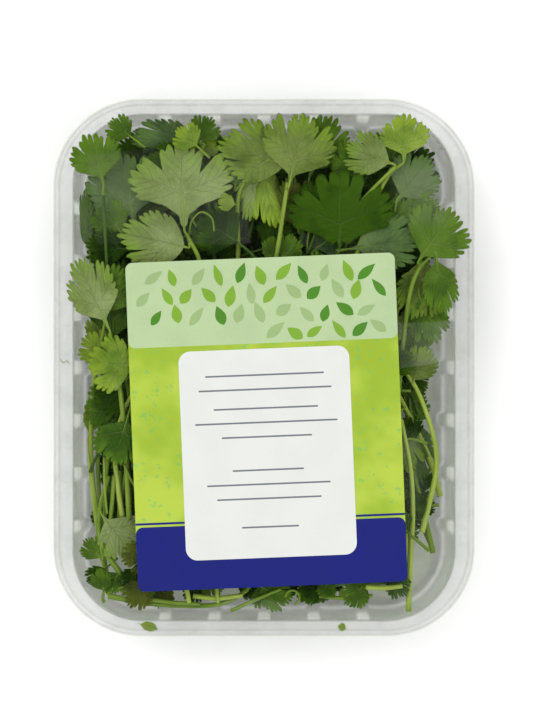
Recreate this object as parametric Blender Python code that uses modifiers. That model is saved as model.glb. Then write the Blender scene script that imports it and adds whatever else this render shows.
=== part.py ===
"""A bunch of loose coriander in a clear sealed tray, with a paper label on the film.

Metres, +Z up. The origin is under the middle of the tray, on the surface it rests on.
Y is the tray's long side. The layout lists are in millimetres, as MM says.
"""

import math
import random

import bmesh
import bpy
from mathutils import Matrix, Vector
from mathutils.bvhtree import BVHTree

MM = 0.001
WELD_DISTANCE = 0.00001

# Tray, in millimetres
TRAY_X, TRAY_Y = 178.0, 227.0  # over the skirt
TRAY_WALL = 0.8
FLANGE_TOP = 35.0
SKIRT_DROP, SKIRT_FLARE = 2.2, 0.7
OUTER_RADIUS = 37.0
FLANGE_SIDE, FLANGE_END = 8.2, 6.4  # flat width along the sides and at the ends
RIM_RADIUS = 29.0
WALL_DRAFT = 2.0  # how far the foot of the wall stands in from its top
RIB_TOP, RIB_FOOT = 27.0, 4.0  # heights between which the stiffening ribs run
RIB_DEPTH, RIB_WIDTH, RIB_FLANK = 2.2, 5.6, 1.1
SIDE_RIB_PITCH, SIDE_RIBS = 22.5, 7
END_RIB_PITCH, END_RIBS = 21.0, 5
FLOOR_CHAMFER, FLOOR_PANEL_INSET = 1.6, 6.0
CORNER_STEPS = 8

# Film and label, in millimetres
CONTACT_GAP = 0.3  # between pieces that touch
FILM_THICKNESS = 0.4
FILM_INSET = 1.6  # from the skirt's outer edge
SEAL_WIDTH, FILM_SLOPE, FILM_LIFT = 1.4, 0.9, 1.2
LABEL_X, LABEL_Y, LABEL_RADIUS = 113.5, 138.5, 3.0
LABEL_MIDDLE = (1.0, -23.0)
LABEL_TURN = math.radians(2.3)
LABEL_THICKNESS = 0.3

# Herbs, in millimetres and degrees
BLADE_THICKNESS = 0.6
STALK_CUT_RADIUS, STALK_HEAD_RADIUS = 1.2, 0.8
STALK_FALL = 0.05  # how much lower a stalk lies for each millimetre from its head
LOW_FALL = 0.09  # the same for the sprigs that rise from the floor
RIM_HEAD = 33.2  # height of the stalk's head where its leaf reaches over the flange
SIDE_STALK_RADIUS, SIDE_STALK_THIN = 0.55, 0.35
UNION_TRIES = 8
SIDE_STALK_RISE = 1.2
LAST_START = 0.97  # a side stalk starts inside the main one, never on its end face
TILT, RIM_TILT, ROLL = (-3, 4), (-4, -2), (-5, 5)
TILT_SEED = 3
STALK_INTO_BLADE = 0.16  # share of the blade's length that its stalk is sunk into it
LOBES = ((-56, 22, 0.85), (0, 23, 1.0), (56, 22, 0.85))  # middle, half spread, reach
LOBE_HUB = 0.62  # share of a lobe's reach where its rib points meet
LOBE_ROUNDING = 0.14  # how much shorter the outer teeth of a lobe are than its middle one
LEAF_HUB = 0.30
CLEFT = (28, 0.50)  # angle and reach of the cuts between the lobes
SHOULDER = (88, 0.40)  # the outermost point beside the wedge-shaped base
NOTCH = 0.84  # reach of the notch between two teeth
LARGE_LEAF = 22.0  # the middle lobe of a blade this long has five teeth, else three
BLADE_RISE, BLADE_DROOP = 0.16, 0.20  # how the blade arches, in shares of its length
HUB_LIFT, SHOULDER_LIFT, CLEFT_LIFT = -0.012, 0.010, 0.015  # the ribs lie lowest
TOOTH_LIFT, NOTCH_LIFT = 0.012, -0.008  # every second tooth stands up, the rest sink
SMOOTH_ANGLE = math.radians(35)  # edges sharper than this stay sharp in the shading
EDGE_DEPTH = 5.0  # how far under the film the sprigs at the sides begin
SETTLE_STEP = 0.5
SETTLE_GAP = 0.35
FILM_UNDERSIDE = FLANGE_TOP + CONTACT_GAP + FILM_LIFT
FLOOR_TOP = TRAY_WALL
RIM_LEAF_HEIGHT = (FLANGE_TOP + FILM_UNDERSIDE) / 2  # of a leaf caught over the flange

# A sprig is (name, green, route of its stalk from the cut end to the head, leaves).
# The stalk falls away from its head by STALK_FALL, and settle() gives the sprig its height.
# A leaf is (how far along the stalk its own stalk leaves, base, tip, spread, face).
# Spread is the blade's width as a share of full width. Face is UP, UNDER for a blade that
# lies underside up, or RIM for a flat one that reaches over the flange under the film.
UP, UNDER, RIM = "up", "under", "rim"
RIM_SPRIGS = (
    (
        "sprig_corner_rim",
        "mid",
        ((-64, -10), (-65, 16), (-67, 54), (-68, 76)),
        ((1.0, (-69, 82), (-74, 98), 0.95, RIM),),
    ),
    (
        "sprig_left_rim",
        "pale",
        ((-57, -64), (-59, -26), (-62, -1), (-65, 14)),
        ((1.0, (-68, 22), (-79, 46), 0.62, RIM),),
    ),
    (
        "sprig_right_rim",
        "mid",
        ((54, -81), (56, -22), (61, 28), (67, 45)),
        (
            (1.0, (69, 50), (80, 67), 0.85, RIM),
            (1.0, (73, 43), (76, 22), 0.55, RIM),
        ),
    ),
    (
        "sprig_twin_fan",
        "pale",
        ((-1, -83), (0, -26), (3, 28), (7, 58), (10, 78)),
        (
            (1.0, (6, 86), (-20, 97), 0.75, UNDER),
            (1.0, (12, 83), (18, 108), 0.9, RIM),
        ),
    ),
    (
        "sprig_top_right",
        "bright",
        ((28, -85), (30, -22), (37, 37), (46, 68), (54, 84)),
        (
            (1.0, (59, 91), (58, 107), 1.05, RIM),
            (0.95, (51, 87), (33, 94), 0.7, UNDER),
        ),
    ),
)
TOP_SPRIGS = (
    (
        "sprig_broad_pale",
        "pale",
        ((-25, -81), (-26, -22), (-27, 28), (-27, 44), (-32, 55)),
        (
            (1.0, (-34, 65), (-35, 96), 1.0, UNDER),
            (0.97, (-35, 56), (-62, 57), 0.85, UNDER),
        ),
    ),
    (
        "sprig_large_dark",
        "dark",
        ((15, -87), (17, -26), (24, 28), (31, 44), (31, 50)),
        (
            (1.0, (32, 53), (33, 83), 1.05, UP),
            (0.97, (40, 51), (67, 55), 0.7, UP),
        ),
    ),
    (
        "sprig_hanging_pair",
        "bright",
        ((-10, -87), (-11, -22), (-11, 44), (-11, 71), (-6, 83)),
        (
            (1.0, (-4, 85), (-7, 61), 0.4, UP),
            (1.0, (-2, 84), (6, 60), 0.55, UNDER),
            (0.85, (-14, 77), (-10, 88), 0.9, UP),
        ),
    ),
    (
        "sprig_right_shoulder",
        "mid",
        ((40, -83), (44, -22), (51, 28), (55, 50)),
        (
            (1.0, (59, 74), (71, 90), 0.9, UNDER),
            (0.95, (60, 63), (75, 70), 0.7, UP),
            (1.0, (56, 53), (57, 73), 0.6, UP),
        ),
    ),
    (
        "sprig_right_edge",
        "pale",
        ((49, -47), (52, -5), (57, 28), (62, 40), (67, 44)),
        (
            (1.0, (69, 42), (63, 19), 0.65, UP),
            (1.0, (67, 28), (70, 9), 0.6, UP),
        ),
    ),
    (
        "sprig_left_edge",
        "mid",
        ((-53, -60), (-55, -26), (-59, -1), (-62, 10)),
        (
            (1.0, (-64, 15), (-63, 47), 0.6, UP),
            (0.9, (-66, 5), (-76, 14), 1.0, UP),
        ),
    ),
    (
        "sprig_left_bright",
        "bright",
        ((-48, -64), (-50, -26), (-52, -5), (-55, 1)),
        ((1.0, (-57, 1), (-74, 3), 1.1, UNDER),),
    ),
    (
        "sprig_left_dark",
        "dark",
        ((-44, -81), (-46, -43), (-49, -22), (-55, -15)),
        (
            (1.0, (-56, -14), (-76, -23), 0.85, UP),
            (0.9, (-58, -26), (-67, -43), 0.75, UP),
        ),
    ),
    (
        "sprig_hazy_fan",
        "dark",
        ((-40, -87), (-42, -35), (-46, 16), (-50, 44), (-55, 60)),
        (
            (1.0, (-60, 68), (-66, 92), 0.95, UP),
            (0.95, (-61, 58), (-71, 70), 0.8, UNDER),
            (0.9, (-59, 50), (-76, 53), 0.7, UP),
        ),
    ),
    (
        "sprig_folded",
        "dark",
        ((-16, -85), (-18, -14), (-21, 45), (-25, 79), (-28, 91)),
        (
            (1.0, (-31, 95), (-57, 97), 0.38, UNDER),
            (0.93, (-32, 86), (-50, 88), 0.7, UP),
        ),
    ),
    (
        "sprig_behind_fans",
        "dark",
        ((9, -85), (10, -30), (12, 30), (17, 60), (20, 72)),
        (
            (1.0, (22, 80), (27, 100), 0.9, UP),
            (0.9, (14, 62), (9, 82), 0.7, UP),
            (0.8, (24, 52), (44, 66), 0.9, UNDER),
        ),
    ),
)
EDGE_SPRIGS = (
    (
        "sprig_left_long",
        "bright",
        ((-67, -95), (-71, -64), (-74, -35), (-72, -9), (-70, 6)),
        (
            (1.0, (-70, 11), (-72, 24), 0.65, UP),
            (0.4, (-74, -27), (-71, -11), 0.4, UP),
        ),
    ),
    (
        "sprig_left_low",
        "mid",
        ((-59, -90), (-69, -75), (-70, -62), (-66, -46)),
        (
            (0.75, (-66, -66), (-55, -80), 0.9, UNDER),
            (0.4, (-70, -80), (-76, -72), 0.9, UP),
            (0.1, (-62, -88), (-68, -95), 0.8, UP),
        ),
    ),
    (
        "stalk_left_wide",
        "bright",
        ((-60, -64), (-62, -50), (-63, -36), (-60, -20), (-52, -5)),
        (),
    ),
    (
        "sprig_bottom_left",
        "mid",
        ((-66, -97), (-48, -100), (-27, -101), (-15, -99), (-7, -94)),
        (
            (0.2, (-58, -93), (-44, -90), 0.8, UP),
            (1.0, (-1, -93), (12, -99), 0.8, UP),
        ),
    ),
    (
        "sprig_bottom_right",
        "dark",
        ((58, -91), (46, -91), (36, -91), (25, -93)),
        (
            (0.6, (35, -94), (44, -98), 1.0, UP),
            (1.0, (23, -94), (14, -97), 0.9, UP),
        ),
    ),
    (
        "sprig_right_long",
        "bright",
        (
            (67, -70),
            (70, -58),
            (73, -43),
            (72, -30),
            (66, -12),
            (59, 0),
        ),
        ((0.9, (64, -4), (70, 9), 0.8, UP),),
    ),
    (
        "sprig_right_cut",
        "mid",
        ((75, -55), (72, -43), (67, -31), (60, -17), (54, -5)),
        ((0.75, (58, -23), (61, -44), 0.5, UNDER),),
    ),
    (
        "stalk_right_tall",
        "bright",
        ((61, -101), (62, -81), (63, -62), (62, -43), (58, -22)),
        (),
    ),
    (
        "stalk_right_inner",
        "mid",
        ((62, -90), (60, -75), (58, -56), (55, -35)),
        (),
    ),
    (
        "stalk_right_outer",
        "mid",
        ((72, -79), (69, -66), (66, -54), (62, -39)),
        (),
    ),
)
# Sprigs at the bottom of the tray follow a rule: a lane each, and a head at a drawn place
LOW_SPRIGS = 5
LOW_LANES = (-51, 50)
LOW_CUT_END, LOW_MIDDLE = (-88, 0.85), (-30, 0.9)  # y, and share of the lane's x
LOW_HEADS = (34, 84)
LOW_NECK, LOW_BEND = 8, 40  # how far before the head's y the stalk ends and is bent
LOW_DRIFT = (-4, 4)
LOW_LEAF_LENGTH = (18, 21.5)
LOW_LEAF_SPREAD = (0.8, 1.0)
LOW_LEAF_ANGLES = (-68, 4, 62)
LOW_LEAF_TURN = (-12, 12)
LOW_LEAF_FOOT = 4
LOW_SIDE_START = 0.93
LOW_MIDDLE_ANGLE = 30  # a leaf that turns less than this is the one at the stalk's end
LOW_SEED = 41

GREENS = {
    "pale": (0.27, 0.36, 0.15),
    "mid": (0.12, 0.24, 0.04),
    "bright": (0.24, 0.40, 0.06),
    "dark": (0.05, 0.13, 0.02),
}


def clear_scene():
    for item in list(bpy.data.objects):
        bpy.data.objects.remove(item, do_unlink=True)


def material(name, colour, roughness, alpha=1.0):
    made = bpy.data.materials.new(name)
    made.use_nodes = True
    shader = made.node_tree.nodes["Principled BSDF"]
    shader.inputs["Base Color"].default_value = (*colour, 1.0)
    shader.inputs["Roughness"].default_value = roughness
    shader.inputs["Metallic"].default_value = 0.0
    shader.inputs["Alpha"].default_value = alpha
    return made


def shade_round(mesh):
    mesh.shade_smooth()
    mesh.set_sharp_from_angle(angle=SMOOTH_ANGLE)


def mesh_object(name, mesh, finish, group):
    made = bpy.data.objects.new(name, mesh)
    made.data.materials.clear()
    made.data.materials.append(finish)
    shade_round(made.data)
    group.objects.link(made)
    return made


def evaluated_mesh(item):
    """The mesh that an object's curve and modifiers give."""
    bpy.context.view_layer.update()
    ready = item.evaluated_get(bpy.context.evaluated_depsgraph_get())
    return bpy.data.meshes.new_from_object(ready)


def welded(mesh):
    """The mesh with a curve's loose caps joined to its sides."""
    work = bmesh.new()
    work.from_mesh(mesh)
    bmesh.ops.remove_doubles(work, verts=work.verts, dist=WELD_DISTANCE)
    work.to_mesh(mesh)
    work.free()
    return mesh


def main_body(mesh):
    """The mesh without loose scraps, in triangles, and whether it is closed."""
    work = bmesh.new()
    work.from_mesh(mesh)
    left, bodies = set(work.verts), []
    while left:
        reached, waiting = set(), [next(iter(left))]
        while waiting:
            vertex = waiting.pop()
            if vertex not in reached:
                reached.add(vertex)
                waiting += [edge.other_vert(vertex) for edge in vertex.link_edges]
        bodies.append(reached)
        left -= reached
    largest = max(bodies, key=len)
    scraps = [vertex for vertex in work.verts if vertex not in largest]
    bmesh.ops.delete(work, geom=scraps, context="VERTS")
    for method in ("BEAUTY", "EAR_CLIP"):
        split = work.copy()
        bmesh.ops.triangulate(split, faces=split.faces, ngon_method=method)
        closed = all(len(edge.link_faces) == 2 for edge in split.edges)
        split.to_mesh(mesh)
        split.free()
        if closed:
            break
    work.free()
    return mesh, closed


def rounded_outline(half_x, half_y, radius, rib_depth=None):
    """Points of a rounded rectangle, anticlockwise, with ribs dented in if they are asked for."""
    points = []
    for quarter in range(4):
        outward = Vector((1.0, 0.0))
        outward.rotate(Matrix.Rotation(math.radians(90 * quarter), 2))
        along = Vector((-outward.y, outward.x))
        reach, run = (half_x, half_y) if quarter % 2 == 0 else (half_y, half_x)
        if rib_depth is not None:
            pitch, count = (
                (SIDE_RIB_PITCH, SIDE_RIBS)
                if quarter % 2 == 0
                else (END_RIB_PITCH, END_RIBS)
            )
            edge, crown = RIB_WIDTH / 2, RIB_WIDTH / 2 - RIB_FLANK
            for number in range(count):
                middle = (number - (count - 1) / 2) * pitch
                for shift, depth in (
                    (-edge, 0.0),
                    (-crown, rib_depth),
                    (crown, rib_depth),
                    (edge, 0.0),
                ):
                    points.append(outward * (reach - depth) + along * (middle + shift))
        centre = outward * (reach - radius) + along * (run - radius)
        for step in range(CORNER_STEPS + 1):
            turn = math.radians(90 * step / CORNER_STEPS)
            points.append(centre + (outward * math.cos(turn) + along * math.sin(turn)) * radius)
    return points


def add_ring(work, outline, height):
    return [work.verts.new((p.x * MM, p.y * MM, height * MM)) for p in outline]


def stitch(work, first, second):
    """Faces between two rings that run the same way round but may differ in their count."""

    def turned(ring):
        angles = [math.atan2(v.co.y, v.co.x) for v in ring]
        start = angles.index(min(angles))
        ring = ring[start:] + ring[:start]
        angles = angles[start:] + angles[:start]
        return ring + ring[:1], angles + [angles[0] + 2 * math.pi]

    if len(first) == len(second):
        for n in range(len(first)):
            after = (n + 1) % len(first)
            work.faces.new((first[n], first[after], second[after], second[n]))
        return
    first, first_angles = turned(first)
    second, second_angles = turned(second)
    a = b = 0
    while a < len(first) - 1 or b < len(second) - 1:
        first_is_next = b == len(second) - 1 or (
            a < len(first) - 1 and first_angles[a + 1] <= second_angles[b + 1]
        )
        if first_is_next:
            work.faces.new((first[a], first[a + 1], second[b]))
            a += 1
        else:
            work.faces.new((first[a], second[b + 1], second[b]))
            b += 1


def shell(name, rings, thickness, offset, finish, group):
    """A sheet through the rings, closed by a flat face in the last one, made thick."""
    work = bmesh.new()
    made = [add_ring(work, outline, height) for outline, height in rings]
    for first, second in zip(made, made[1:]):
        stitch(work, first, second)
    work.faces.new(made[-1])
    bmesh.ops.recalc_face_normals(work, faces=work.faces)
    middle = next(face for face in work.faces if len(face.verts) == len(made[-1]))
    if middle.normal.z < 0:
        bmesh.ops.reverse_faces(work, faces=work.faces)
    mesh = bpy.data.meshes.new(name)
    work.to_mesh(mesh)
    work.free()
    item = mesh_object(name, mesh, finish, group)
    solid = item.modifiers.new("thickness", "SOLIDIFY")
    solid.thickness = thickness * MM
    solid.offset = offset
    return item


def make_tray(finish, group):
    outer_x, outer_y = TRAY_X / 2, TRAY_Y / 2
    edge_x, edge_y = outer_x - SKIRT_FLARE, outer_y - SKIRT_FLARE
    rim_x, rim_y = edge_x - FLANGE_SIDE, edge_y - FLANGE_END

    def wall(height, rib_depth=None, inset=0.0):
        step = WALL_DRAFT * (FLANGE_TOP - height) / (FLANGE_TOP - RIB_FOOT) + inset
        return rounded_outline(rim_x - step, rim_y - step, RIM_RADIUS - step, rib_depth)

    rings = (
        (rounded_outline(outer_x, outer_y, OUTER_RADIUS), FLANGE_TOP - SKIRT_DROP),
        (rounded_outline(edge_x, edge_y, OUTER_RADIUS), FLANGE_TOP),
        (wall(FLANGE_TOP), FLANGE_TOP),
        (wall(RIB_TOP, 0.0), RIB_TOP),
        (wall(RIB_FOOT, RIB_DEPTH), RIB_FOOT),
        (wall(RIB_FOOT, RIB_DEPTH, FLOOR_CHAMFER), TRAY_WALL),
        (wall(RIB_FOOT, None, FLOOR_PANEL_INSET), TRAY_WALL),
    )
    tray = shell("tray", rings, TRAY_WALL, -1.0, finish, group)
    tray.data = evaluated_mesh(tray)
    tray.modifiers.clear()
    shade_round(tray.data)
    for vertex in tray.data.vertices:
        if vertex.co.z < TRAY_WALL / 2 * MM:
            vertex.co.z = 0.0
    return tray


def make_film(finish, group):
    half_x, half_y = TRAY_X / 2 - FILM_INSET, TRAY_Y / 2 - FILM_INSET
    low = FLANGE_TOP + CONTACT_GAP
    slope_end = SEAL_WIDTH + FILM_SLOPE
    rings = [
        (rounded_outline(half_x - i, half_y - i, OUTER_RADIUS - i), height)
        for i, height in ((0, low), (SEAL_WIDTH, low), (slope_end, low + FILM_LIFT))
    ]
    return shell("lidding_film", rings, FILM_THICKNESS, 1.0, finish, group)


def make_label(finish, group):
    outline = rounded_outline(LABEL_X / 2, LABEL_Y / 2, LABEL_RADIUS)[::2]
    curve = bpy.data.curves.new("label", "CURVE")
    curve.dimensions = "2D"
    curve.fill_mode = "BOTH"
    curve.extrude = LABEL_THICKNESS / 2 * MM
    line = curve.splines.new("POLY")
    line.points.add(len(outline) - 1)
    for point, place in zip(line.points, outline):
        point.co = (place.x * MM, place.y * MM, 0.0, 1.0)
    line.use_cyclic_u = True
    pattern = bpy.data.objects.new("label_pattern", curve)
    bpy.context.scene.collection.objects.link(pattern)
    label = mesh_object("label", welded(evaluated_mesh(pattern)), finish, group)
    bpy.data.objects.remove(pattern, do_unlink=True)
    film_top = FILM_UNDERSIDE + FILM_THICKNESS
    height = film_top + CONTACT_GAP + LABEL_THICKNESS / 2
    label.location = (LABEL_MIDDLE[0] * MM, LABEL_MIDDLE[1] * MM, height * MM)
    label.rotation_euler.z = LABEL_TURN
    return label


def smooth_route(points, head_height, slope, steps):
    """Points on one smooth curve through the given ones, falling away from the head."""
    places = [Vector((*points[-1], head_height))]
    for point in points[-2::-1]:
        fall = slope * (Vector(point) - places[0].to_2d()).length
        places.insert(0, Vector((*point, places[0].z - fall)))
    places = [places[0] * 2 - places[1]] + places + [places[-1] * 2 - places[-2]]
    route = []
    for n in range(1, len(places) - 2):
        before, start, end, after = places[n - 1 : n + 3]
        for step in range(steps):
            t = step / steps
            route.append(
                0.5
                * (
                    2 * start
                    + (end - before) * t
                    + (2 * before - 5 * start + 4 * end - after) * t * t
                    + (3 * start - before - 3 * end + after) * t * t * t
                )
            )
    return route + [places[-2]]


def tube(route, first_radius, last_radius, resolution):
    """A closed tapering tube, as a mesh object in millimetre layout turned to metres."""
    curve = bpy.data.curves.new("tube", "CURVE")
    curve.dimensions = "3D"
    curve.bevel_depth = MM
    curve.bevel_resolution = resolution
    curve.use_fill_caps = True
    line = curve.splines.new("POLY")
    line.points.add(len(route) - 1)
    for n, (point, place) in enumerate(zip(line.points, route)):
        point.co = (*(place * MM), 1.0)
        share = n / (len(route) - 1)
        point.radius = first_radius + (last_radius - first_radius) * share
    pattern = bpy.data.objects.new("tube_pattern", curve)
    bpy.context.scene.collection.objects.link(pattern)
    mesh = welded(evaluated_mesh(pattern))
    bpy.data.objects.remove(pattern, do_unlink=True)
    return bpy.data.objects.new("tube", mesh)


def blade_height(reach, length, arch):
    """How high a blade stands over its base: it rises, levels out and droops to its teeth."""
    return arch * length * (BLADE_RISE * reach - BLADE_DROOP * reach * reach)


def blade(base, tip, spread, face, arch, tilt, roll):
    """A cut-edged, three-lobed leaf blade, one arched sheet made thick."""
    length = (Vector(tip) - Vector(base[:2])).length
    teeth = (3, 3, 3) if length < LARGE_LEAF else (3, 5, 3)
    work = bmesh.new()

    def place(angle, reach, lift=0.0):
        turn = math.radians(angle)
        height = blade_height(reach, length, arch) + arch * lift * length
        x = math.sin(turn) * reach * length * spread
        return work.verts.new((x, math.cos(turn) * reach * length, height))

    foot = place(0, 0.0)
    hub = place(0, LEAF_HUB, HUB_LIFT)
    shoulders = [place(side * SHOULDER[0], SHOULDER[1], SHOULDER_LIFT) for side in (-1, 1)]
    clefts = [place(side * CLEFT[0], CLEFT[1], CLEFT_LIFT) for side in (-1, 1)]
    gates = [shoulders[0], clefts[0], clefts[1], shoulders[1]]
    lobe_hubs = []
    for number, (middle, half, reach) in enumerate(LOBES):
        lobe_hub = place(middle, LOBE_HUB * reach, HUB_LIFT)
        lobe_hubs.append(lobe_hub)
        count = 2 * teeth[number] - 1
        rim = [gates[number]]
        for n in range(count):
            across = 2 * n / (count - 1) - 1
            cut = reach if n % 2 == 0 else reach * NOTCH
            lift = TOOTH_LIFT if n % 4 == 0 else NOTCH_LIFT
            cut *= 1 - LOBE_ROUNDING * across**2
            rim.append(place(middle + across * half, cut, lift))
        rim.append(gates[number + 1])
        for first, second in zip(rim, rim[1:]):
            work.faces.new((lobe_hub, second, first))
    inner = [foot, shoulders[0], lobe_hubs[0], clefts[0], lobe_hubs[1], clefts[1]]
    inner += [lobe_hubs[2], shoulders[1], foot]
    for first, second in zip(inner, inner[1:]):
        work.faces.new((hub, second, first))

    heading = math.atan2(tip[1] - base[1], tip[0] - base[0]) - math.pi / 2
    turned = math.pi if face == UNDER else 0.0
    frame = Matrix.Translation(Vector(base)) @ Matrix.Rotation(heading, 4, "Z")
    frame = frame @ Matrix.Rotation(tilt, 4, "X") @ Matrix.Rotation(roll + turned, 4, "Y")
    work.transform(Matrix.Scale(MM, 4) @ frame)
    mesh = bpy.data.meshes.new("blade")
    work.to_mesh(mesh)
    work.free()
    item = bpy.data.objects.new("blade", mesh)
    solid = item.modifiers.new("thickness", "SOLIDIFY")
    solid.thickness = BLADE_THICKNESS * MM
    solid.offset = 0.0
    return item


def fuse(name, pieces, finish, group):
    """One solid from a stalk and everything that grows from it, or None if it stays open."""
    body = mesh_object(name, pieces[0].data, finish, group)
    grown = bpy.data.collections.new(name + "_grown")
    bpy.context.scene.collection.children.link(grown)
    for piece in pieces[1:]:
        grown.objects.link(piece)
    closed = True
    if pieces[1:]:
        union = body.modifiers.new("union", "BOOLEAN")
        union.operation = "UNION"
        union.operand_type = "COLLECTION"
        union.collection = grown
        union.solver = "EXACT"
        joined, closed = main_body(evaluated_mesh(body))
        if not closed:
            union.solver = "MANIFOLD"
            joined, closed = main_body(evaluated_mesh(body))
        body.data = joined if closed else body.data
        body.modifiers.clear()
        body.data.materials.clear()
        body.data.materials.append(finish)
        shade_round(body.data)
    for piece in pieces:
        bpy.data.objects.remove(piece, do_unlink=True)
    bpy.data.collections.remove(grown)
    if not closed:
        bpy.data.objects.remove(body, do_unlink=True)
    return body if closed else None


def along(route, share):
    """The place at a share of the way along a route."""
    spot = share * (len(route) - 1)
    first = min(int(spot), len(route) - 2)
    return route[first].lerp(route[first + 1], spot - first)


def grow(stalk, leaves, slope, steps, draw):
    """The loose pieces of a sprig: its stalk, side stalks and blades."""
    on_rim = any(face == RIM for *_, face in leaves)
    route = smooth_route(stalk, RIM_HEAD if on_rim else 0.0, slope, steps)
    pieces = [tube(route, STALK_CUT_RADIUS, STALK_HEAD_RADIUS, 1)]
    for start, foot, tip, spread, face in leaves:
        root = along(route, min(start, LAST_START))
        flat = face == RIM
        foot = Vector((*foot, RIM_LEAF_HEIGHT if flat else root.z + SIDE_STALK_RISE))
        ahead = (Vector(tip) - foot.to_2d()) * STALK_INTO_BLADE
        length = ahead.length / STALK_INTO_BLADE
        arch = 0.0 if flat else 1.0
        tilt = 0.0 if flat else math.radians(draw.uniform(*(RIM_TILT if on_rim else TILT)))
        roll = 0.0 if flat else math.radians(draw.uniform(*ROLL))
        pieces.append(blade(foot, tip, spread, face, arch, tilt, roll))
        sunk = blade_height(STALK_INTO_BLADE, length, arch) * (-1 if face == UNDER else 1)
        sunk += math.sin(tilt) * ahead.length
        end = foot + Vector((ahead.x, ahead.y, sunk))
        thin = SIDE_STALK_THIN if flat else SIDE_STALK_RADIUS
        pieces.append(tube([root, foot, end], SIDE_STALK_RADIUS, thin, 0))
    return pieces


def make_sprig(name, green, stalk, leaves, finishes, group, slope=STALK_FALL, steps=1):
    """A sprig whose blades are tilted a little at random, drawn again if its union stays open."""
    draw = random.Random(f"{name} {TILT_SEED}")
    for attempt in range(UNION_TRIES):
        pieces = grow(stalk, leaves, slope, steps, draw)
        made = fuse(name, pieces, finishes[green], group)
        if made:
            made.name = name
            return made
    raise ValueError(name + " did not join into one closed body")


def low_sprigs(draw):
    """The hidden layer: a lane each across the tray, and three leaflets at each head."""
    for number in range(LOW_SPRIGS):
        lane = LOW_LANES[0] + (LOW_LANES[1] - LOW_LANES[0]) * number / (LOW_SPRIGS - 1)
        head = draw.uniform(*LOW_HEADS)
        drift = draw.uniform(*LOW_DRIFT)
        stalk = (
            (lane * LOW_CUT_END[1], LOW_CUT_END[0]),
            (lane * LOW_MIDDLE[1], LOW_MIDDLE[0]),
            (lane, head - LOW_BEND),
            (lane + drift, head - LOW_NECK),
        )
        leaves = []
        for angle in LOW_LEAF_ANGLES:
            turn = math.radians(angle + draw.uniform(*LOW_LEAF_TURN))
            way = Vector((math.sin(turn), math.cos(turn)))
            length = draw.uniform(*LOW_LEAF_LENGTH)
            foot = Vector(stalk[-1]) + way * LOW_LEAF_FOOT
            tip = foot + way * length
            spread = draw.uniform(*LOW_LEAF_SPREAD)
            start = 1.0 if abs(angle) < LOW_MIDDLE_ANGLE else LOW_SIDE_START
            leaves.append((start, tuple(foot), tuple(tip), spread, UP))
        yield f"sprig_low_{number + 1}", "dark", stalk, leaves


def tree_of(item, lift=0.0):
    points = [v.co + Vector((0, 0, lift)) for v in item.data.vertices]
    return BVHTree.FromPolygons(points, [p.vertices[:] for p in item.data.polygons])


def settle(item, placed, step, start):
    """Moves a sprig up or down from its start until it is clear of those already laid."""
    heights = [v.co.z for v in item.data.vertices]
    low, high = min(heights), max(heights)
    lift = start - (low if step > 0 else high)
    first = start + low - high if step < 0 else start
    floor, top = (FLOOR_TOP + CONTACT_GAP) * MM, (FILM_UNDERSIDE - CONTACT_GAP) * MM
    room = first - floor if step < 0 else top - start - (high - low)
    for number in range(int(room / abs(step)) + 1):
        tries = [tree_of(item, lift + gap * MM) for gap in (-SETTLE_GAP, 0, SETTLE_GAP)]
        if not any(own.overlap(other) for own in tries for other in placed):
            break
        lift += step
    else:
        raise ValueError("no room for " + item.name)
    item.data.transform(Matrix.Translation((0, 0, lift)))
    placed.append(tree_of(item))


def main():
    clear_scene()
    group = bpy.data.collections.new("coriander_bunch")
    bpy.context.scene.collection.children.link(group)
    clear_plastic = material("clear_plastic", (0.86, 0.87, 0.86), 0.12, 0.25)
    film_plastic = material("film_plastic", (0.9, 0.9, 0.9), 0.1, 0.12)
    paper = material("label_paper", (0.48, 0.62, 0.12), 0.5)
    finishes = {green: material("leaf_" + green, rgb, 0.5) for green, rgb in GREENS.items()}
    make_tray(clear_plastic, group)
    make_film(film_plastic, group)
    make_label(paper, group)

    placed = []
    top = (FILM_UNDERSIDE - CONTACT_GAP) * MM
    floor = (FLOOR_TOP + CONTACT_GAP) * MM
    for sprig in RIM_SPRIGS:
        made = make_sprig(*sprig, finishes, group)
        placed.append(tree_of(made))
    for sprig in TOP_SPRIGS:
        made = make_sprig(*sprig, finishes, group)
        settle(made, placed, -SETTLE_STEP * MM, top)
    for sprig in EDGE_SPRIGS:
        made = make_sprig(*sprig, finishes, group, steps=2)
        settle(made, placed, -SETTLE_STEP * MM, top - EDGE_DEPTH * MM)
    for sprig in low_sprigs(random.Random(LOW_SEED)):
        made = make_sprig(*sprig, finishes, group, slope=LOW_FALL)
        settle(made, placed, SETTLE_STEP * MM, floor)


main()
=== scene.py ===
import math
import random

import bpy
import numpy as np
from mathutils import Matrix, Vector
from mathutils.bvhtree import BVHTree

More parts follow.
